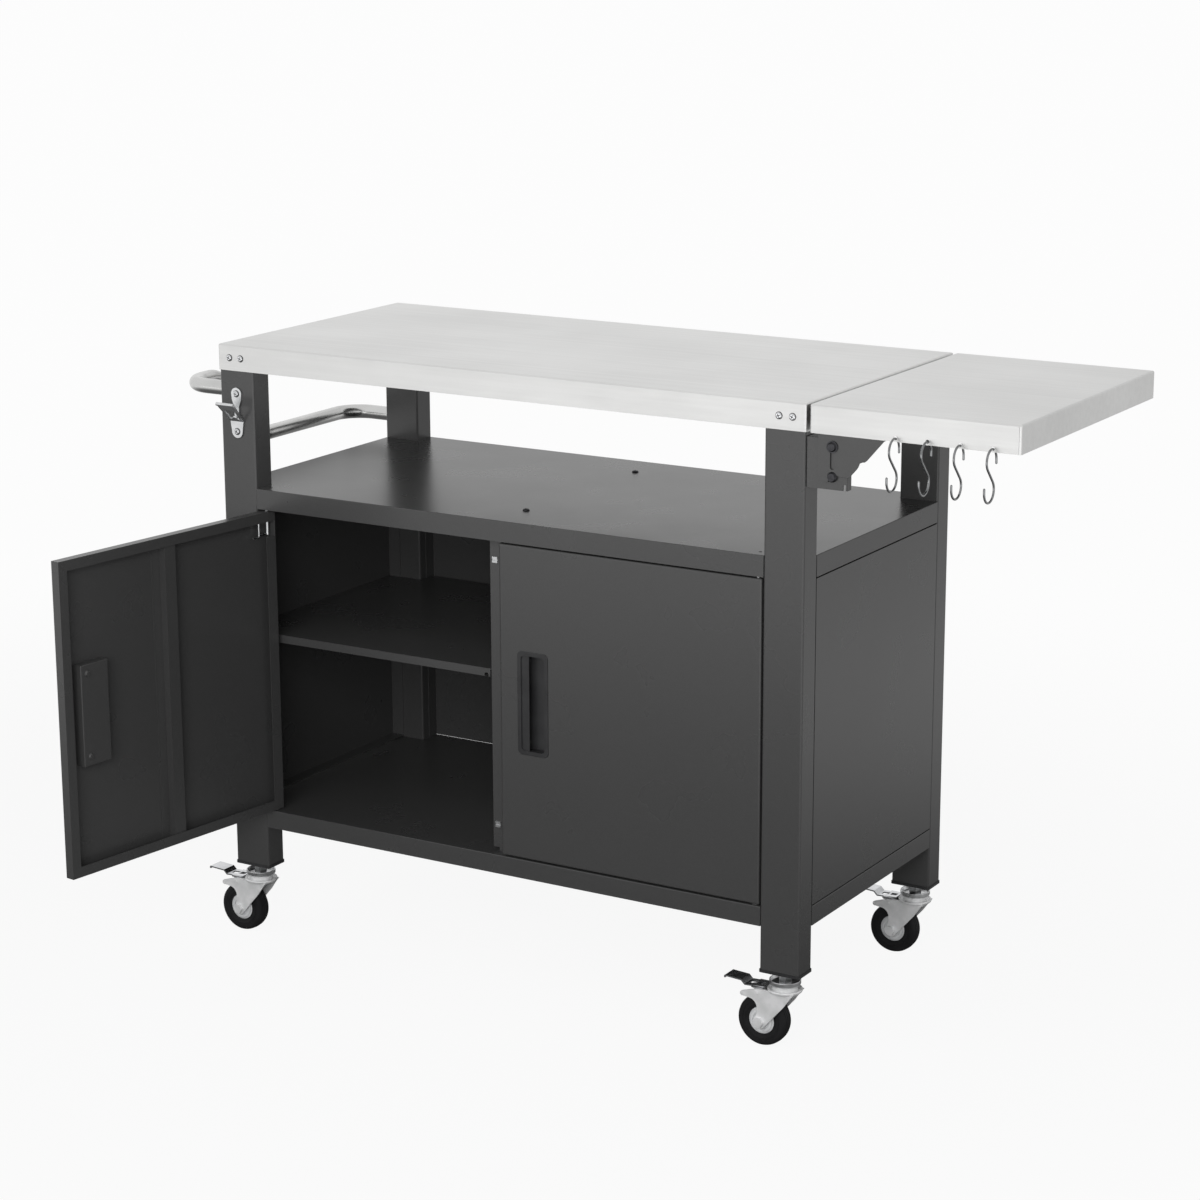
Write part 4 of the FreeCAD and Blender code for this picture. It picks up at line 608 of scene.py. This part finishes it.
# Leaf plates: folded plates, coated with their rivets.
leafPlate = {"finish": charcoalCoat, "ease": 0.25}
for side in ("front", "rear"):
    easedCopy("leaf_plate_eased_" + side, "leaf_plate_" + side, "side_leaf", leafPlate)
# The back panel's lower fold is let down to 0.2 mm above the bottom panel, so only a thin line of light
# shows under it.
backSeat = {"finish": charcoalCoat, "ease": 0.2, "footBand": 3.0, "footDrop": 2.3}
easedCopy("back_panel_seated", "back_panel", "frame", backSeat)
print("eased copies made")

# Solved from the photo: lens and sensor in mm, place in metres, angles in degrees.
cameraPlace = {"lens": 90.1, "sensor": 36.0, "at": (2.2253, -3.6482, 1.6199), "yaw": 31.045,
               "pitch": 14.259, "roll": -0.221, "farEnd": 50.0}


def setCamera(place):
    data = bpy.data.cameras.new("studioCamera")
    data.lens = place["lens"]
    data.sensor_width = place["sensor"]
    data.sensor_fit = "HORIZONTAL"
    data.clip_end = place["farEnd"]
    camera = bpy.data.objects.new("studioCamera", data)
    bpy.context.scene.collection.objects.link(camera)
    turn = Matrix.Rotation(math.radians(place["yaw"]), 4, "Z")
    tip = Matrix.Rotation(math.radians(90 - place["pitch"]), 4, "X")
    roll = Matrix.Rotation(math.radians(place["roll"]), 4, "Z")
    camera.matrix_world = Matrix.Translation(place["at"]) @ turn @ tip @ roll
    bpy.context.scene.camera = camera


setCamera(cameraPlace)

# Studio: a pale sweep, soft boxes and an even white surround. Places on the paper are in metres from the
# cart, X to the camera's right and Y away from it. Each reflected zone goes from the first share to the
# second across its band: in reflections the paper in front glows brighter, a painted light, and the paper
# far to the right glows darker, a painted shade.
studio = {"paper": "#b4b4b4", "sweepWidth": 24.0, "sweepBack": 4.5, "sweepFront": -14.0, "sweepHeight": 5.0,
          "sweepRadius": 1.5, "sweepSteps": 12, "surround": 0.2, "paintedSurroundReflection": 0.95,
          "glowCentre": (-0.5, -0.05, 0.0), "nearReach": 0.8, "farReach": 2.7, "cameraShare": (0.92, 0.97),
          "paintedReflectionGlow": (0.12, 1.0), "glossShare": 0.95, "frontBand": (-2.6, -1.3), "paintedFrontLight": (1.8, 1.0),
          "sideBand": (0.9, 2.6), "paintedSideShade": (1.0, 0.72)}
# The boxes light only what scatters light: coat, rubber, plastic and paper. Nothing mirrors a lamp.
softBoxes = {
    "eyeBox": {"at": (1.4, -3.9, 1.7), "size": 2.4, "power": 165.0, "aim": (0, 0, 0.45)},
    "keyBox": {"at": (-0.9, -1.9, 2.3), "size": 1.6, "power": 24.0, "aim": (0, 0, 0.7)},
    "rightBox": {"at": (2.6, -0.6, 2.3), "size": 2.0, "power": 14.0, "aim": (0.4, 0, 0.5)},
}


# Matt paper that glows to the camera, so that it reads as white. In reflections it is a glow painted darker
# near the cart, as painted shade where the cart would shade the floor, and white further off.
def studioPaper(settings):
    material, tree, place = startMaterial("studioPaper")
    away = addNode(tree, "ShaderNodeVectorMath", {"operation": "DISTANCE"}, {
        0: place, 1: settings["glowCentre"]}).outputs["Value"]
    # Painted reflection: the glow that reflections see is dimmed near the cart as painted shade.
    mirrored, seen = [addNode(tree, "ShaderNodeMapRange", {"interpolation_type": "SMOOTHSTEP"}, {
        "Value": away, "From Min": settings["nearReach"], "From Max": settings["farReach"],
        "To Min": settings[kind][0], "To Max": settings[kind][1]}).outputs[0]
                      for kind in ("paintedReflectionGlow", "cameraShare")]
    where = addNode(tree, "ShaderNodeSeparateXYZ", None, {0: place}).outputs
    # Painted light brightens the reflected glow in front; painted shade darkens it far to the right.
    for axis, band, share in (("Y", "frontBand", "paintedFrontLight"), ("X", "sideBand", "paintedSideShade")):
        zone = addNode(tree, "ShaderNodeMapRange", {"interpolation_type": "SMOOTHSTEP"}, {
            "Value": where[axis], "From Min": settings[band][0], "From Max": settings[band][1],
            "To Min": settings[share][0], "To Max": settings[share][1]}).outputs[0]
        mirrored = addNode(tree, "ShaderNodeMath", {"operation": "MULTIPLY"}, {
            0: mirrored, 1: zone}).outputs[0]
    paper = addNode(tree, "ShaderNodeBsdfDiffuse", None, {"Color": toLinear(settings["paper"])})
    glow = addNode(tree, "ShaderNodeEmission", None, {"Color": (1, 1, 1, 1), "Strength": 1.0})
    reflected = addNode(tree, "ShaderNodeEmission", None, {"Color": (1, 1, 1, 1), "Strength": mirrored})
    ray = addNode(tree, "ShaderNodeLightPath")
    share = addNode(tree, "ShaderNodeMath", {"operation": "MULTIPLY"}, {
        0: ray.outputs["Is Camera Ray"], 1: seen})
    asSeen = addNode(tree, "ShaderNodeMixShader", None, {
        0: share.outputs[0], 1: paper.outputs[0], 2: glow.outputs[0]})
    throughGloss = addNode(tree, "ShaderNodeMath", {"operation": "MULTIPLY"}, {
        0: ray.outputs["Is Glossy Ray"], 1: settings["glossShare"]})
    mixed = addNode(tree, "ShaderNodeMixShader", None, {
        0: throughGloss.outputs[0], 1: asSeen.outputs[0], 2: reflected.outputs[0]})
    addNode(tree, "ShaderNodeOutputMaterial", None, {"Surface": mixed.outputs[0]})
    return material


def makeSweep(settings):
    back, radius = settings["sweepBack"], settings["sweepRadius"]
    profile = [(settings["sweepFront"], 0.0), (back - radius, 0.0)]
    for step in range(1, settings["sweepSteps"] + 1):
        angle = math.pi / 2 * step / settings["sweepSteps"]
        profile.append((back - radius * (1 - math.sin(angle)), radius * (1 - math.cos(angle))))
    profile.append((back, settings["sweepHeight"]))
    half = settings["sweepWidth"] / 2
    verts = [(x, y, z) for y, z in profile for x in (-half, half)]
    faces = [(2 * i, 2 * i + 1, 2 * i + 3, 2 * i + 2) for i in range(len(profile) - 1)]
    mesh = bpy.data.meshes.new("studioSweep")
    mesh.from_pydata(verts, [], faces)
    mesh.polygons.foreach_set("use_smooth", [True] * len(faces))
    sweep = newPiece("studioSweep", mesh)
    sweep.rotation_euler = (0, 0, math.radians(cameraPlace["yaw"]))
    mesh.materials.append(studioPaper(settings))


def makeSoftBox(name, box):
    data = bpy.data.lights.new(name, "AREA")
    data.shape = "SQUARE"
    data.size = box["size"]
    data.energy = box["power"]
    lamp = bpy.data.objects.new(name, data)
    bpy.context.scene.collection.objects.link(lamp)
    aim = Vector(box["aim"]) - Vector(box["at"])
    lamp.visible_glossy = False
    lamp.matrix_world = Matrix.Translation(box["at"]) @ aim.to_track_quat("-Z", "Y").to_matrix().to_4x4()


makeSweep(studio)
for boxName, boxSettings in softBoxes.items():
    makeSoftBox(boxName, boxSettings)
world = bpy.data.worlds.new("whiteSurround")
bpy.context.scene.world = world
world.use_nodes = True
world.node_tree.nodes.clear()
# Even light all round, and white where the camera sees past the paper. Reflections see the surround far
# brighter than the light it gives: a painted reflection.
surroundRay = addNode(world.node_tree, "ShaderNodeLightPath")
surroundGlow = addNode(world.node_tree, "ShaderNodeMath", {"operation": "MULTIPLY_ADD"}, {
    0: surroundRay.outputs["Is Camera Ray"], 1: studio["cameraShare"][1] - studio["surround"],
    2: studio["surround"]})
surroundGlow = addNode(world.node_tree, "ShaderNodeMath", {"operation": "MULTIPLY_ADD"}, {
    0: surroundRay.outputs["Is Glossy Ray"], 1: studio["paintedSurroundReflection"] - studio["surround"],
    2: surroundGlow.outputs[0]})
surround = addNode(world.node_tree, "ShaderNodeBackground", None, {
    "Color": (1, 1, 1, 1), "Strength": surroundGlow.outputs[0]})
addNode(world.node_tree, "ShaderNodeOutputWorld", None, {"Surface": surround.outputs[0]})
bpy.context.scene.view_settings.view_transform = "Standard"
print("camera and studio set")
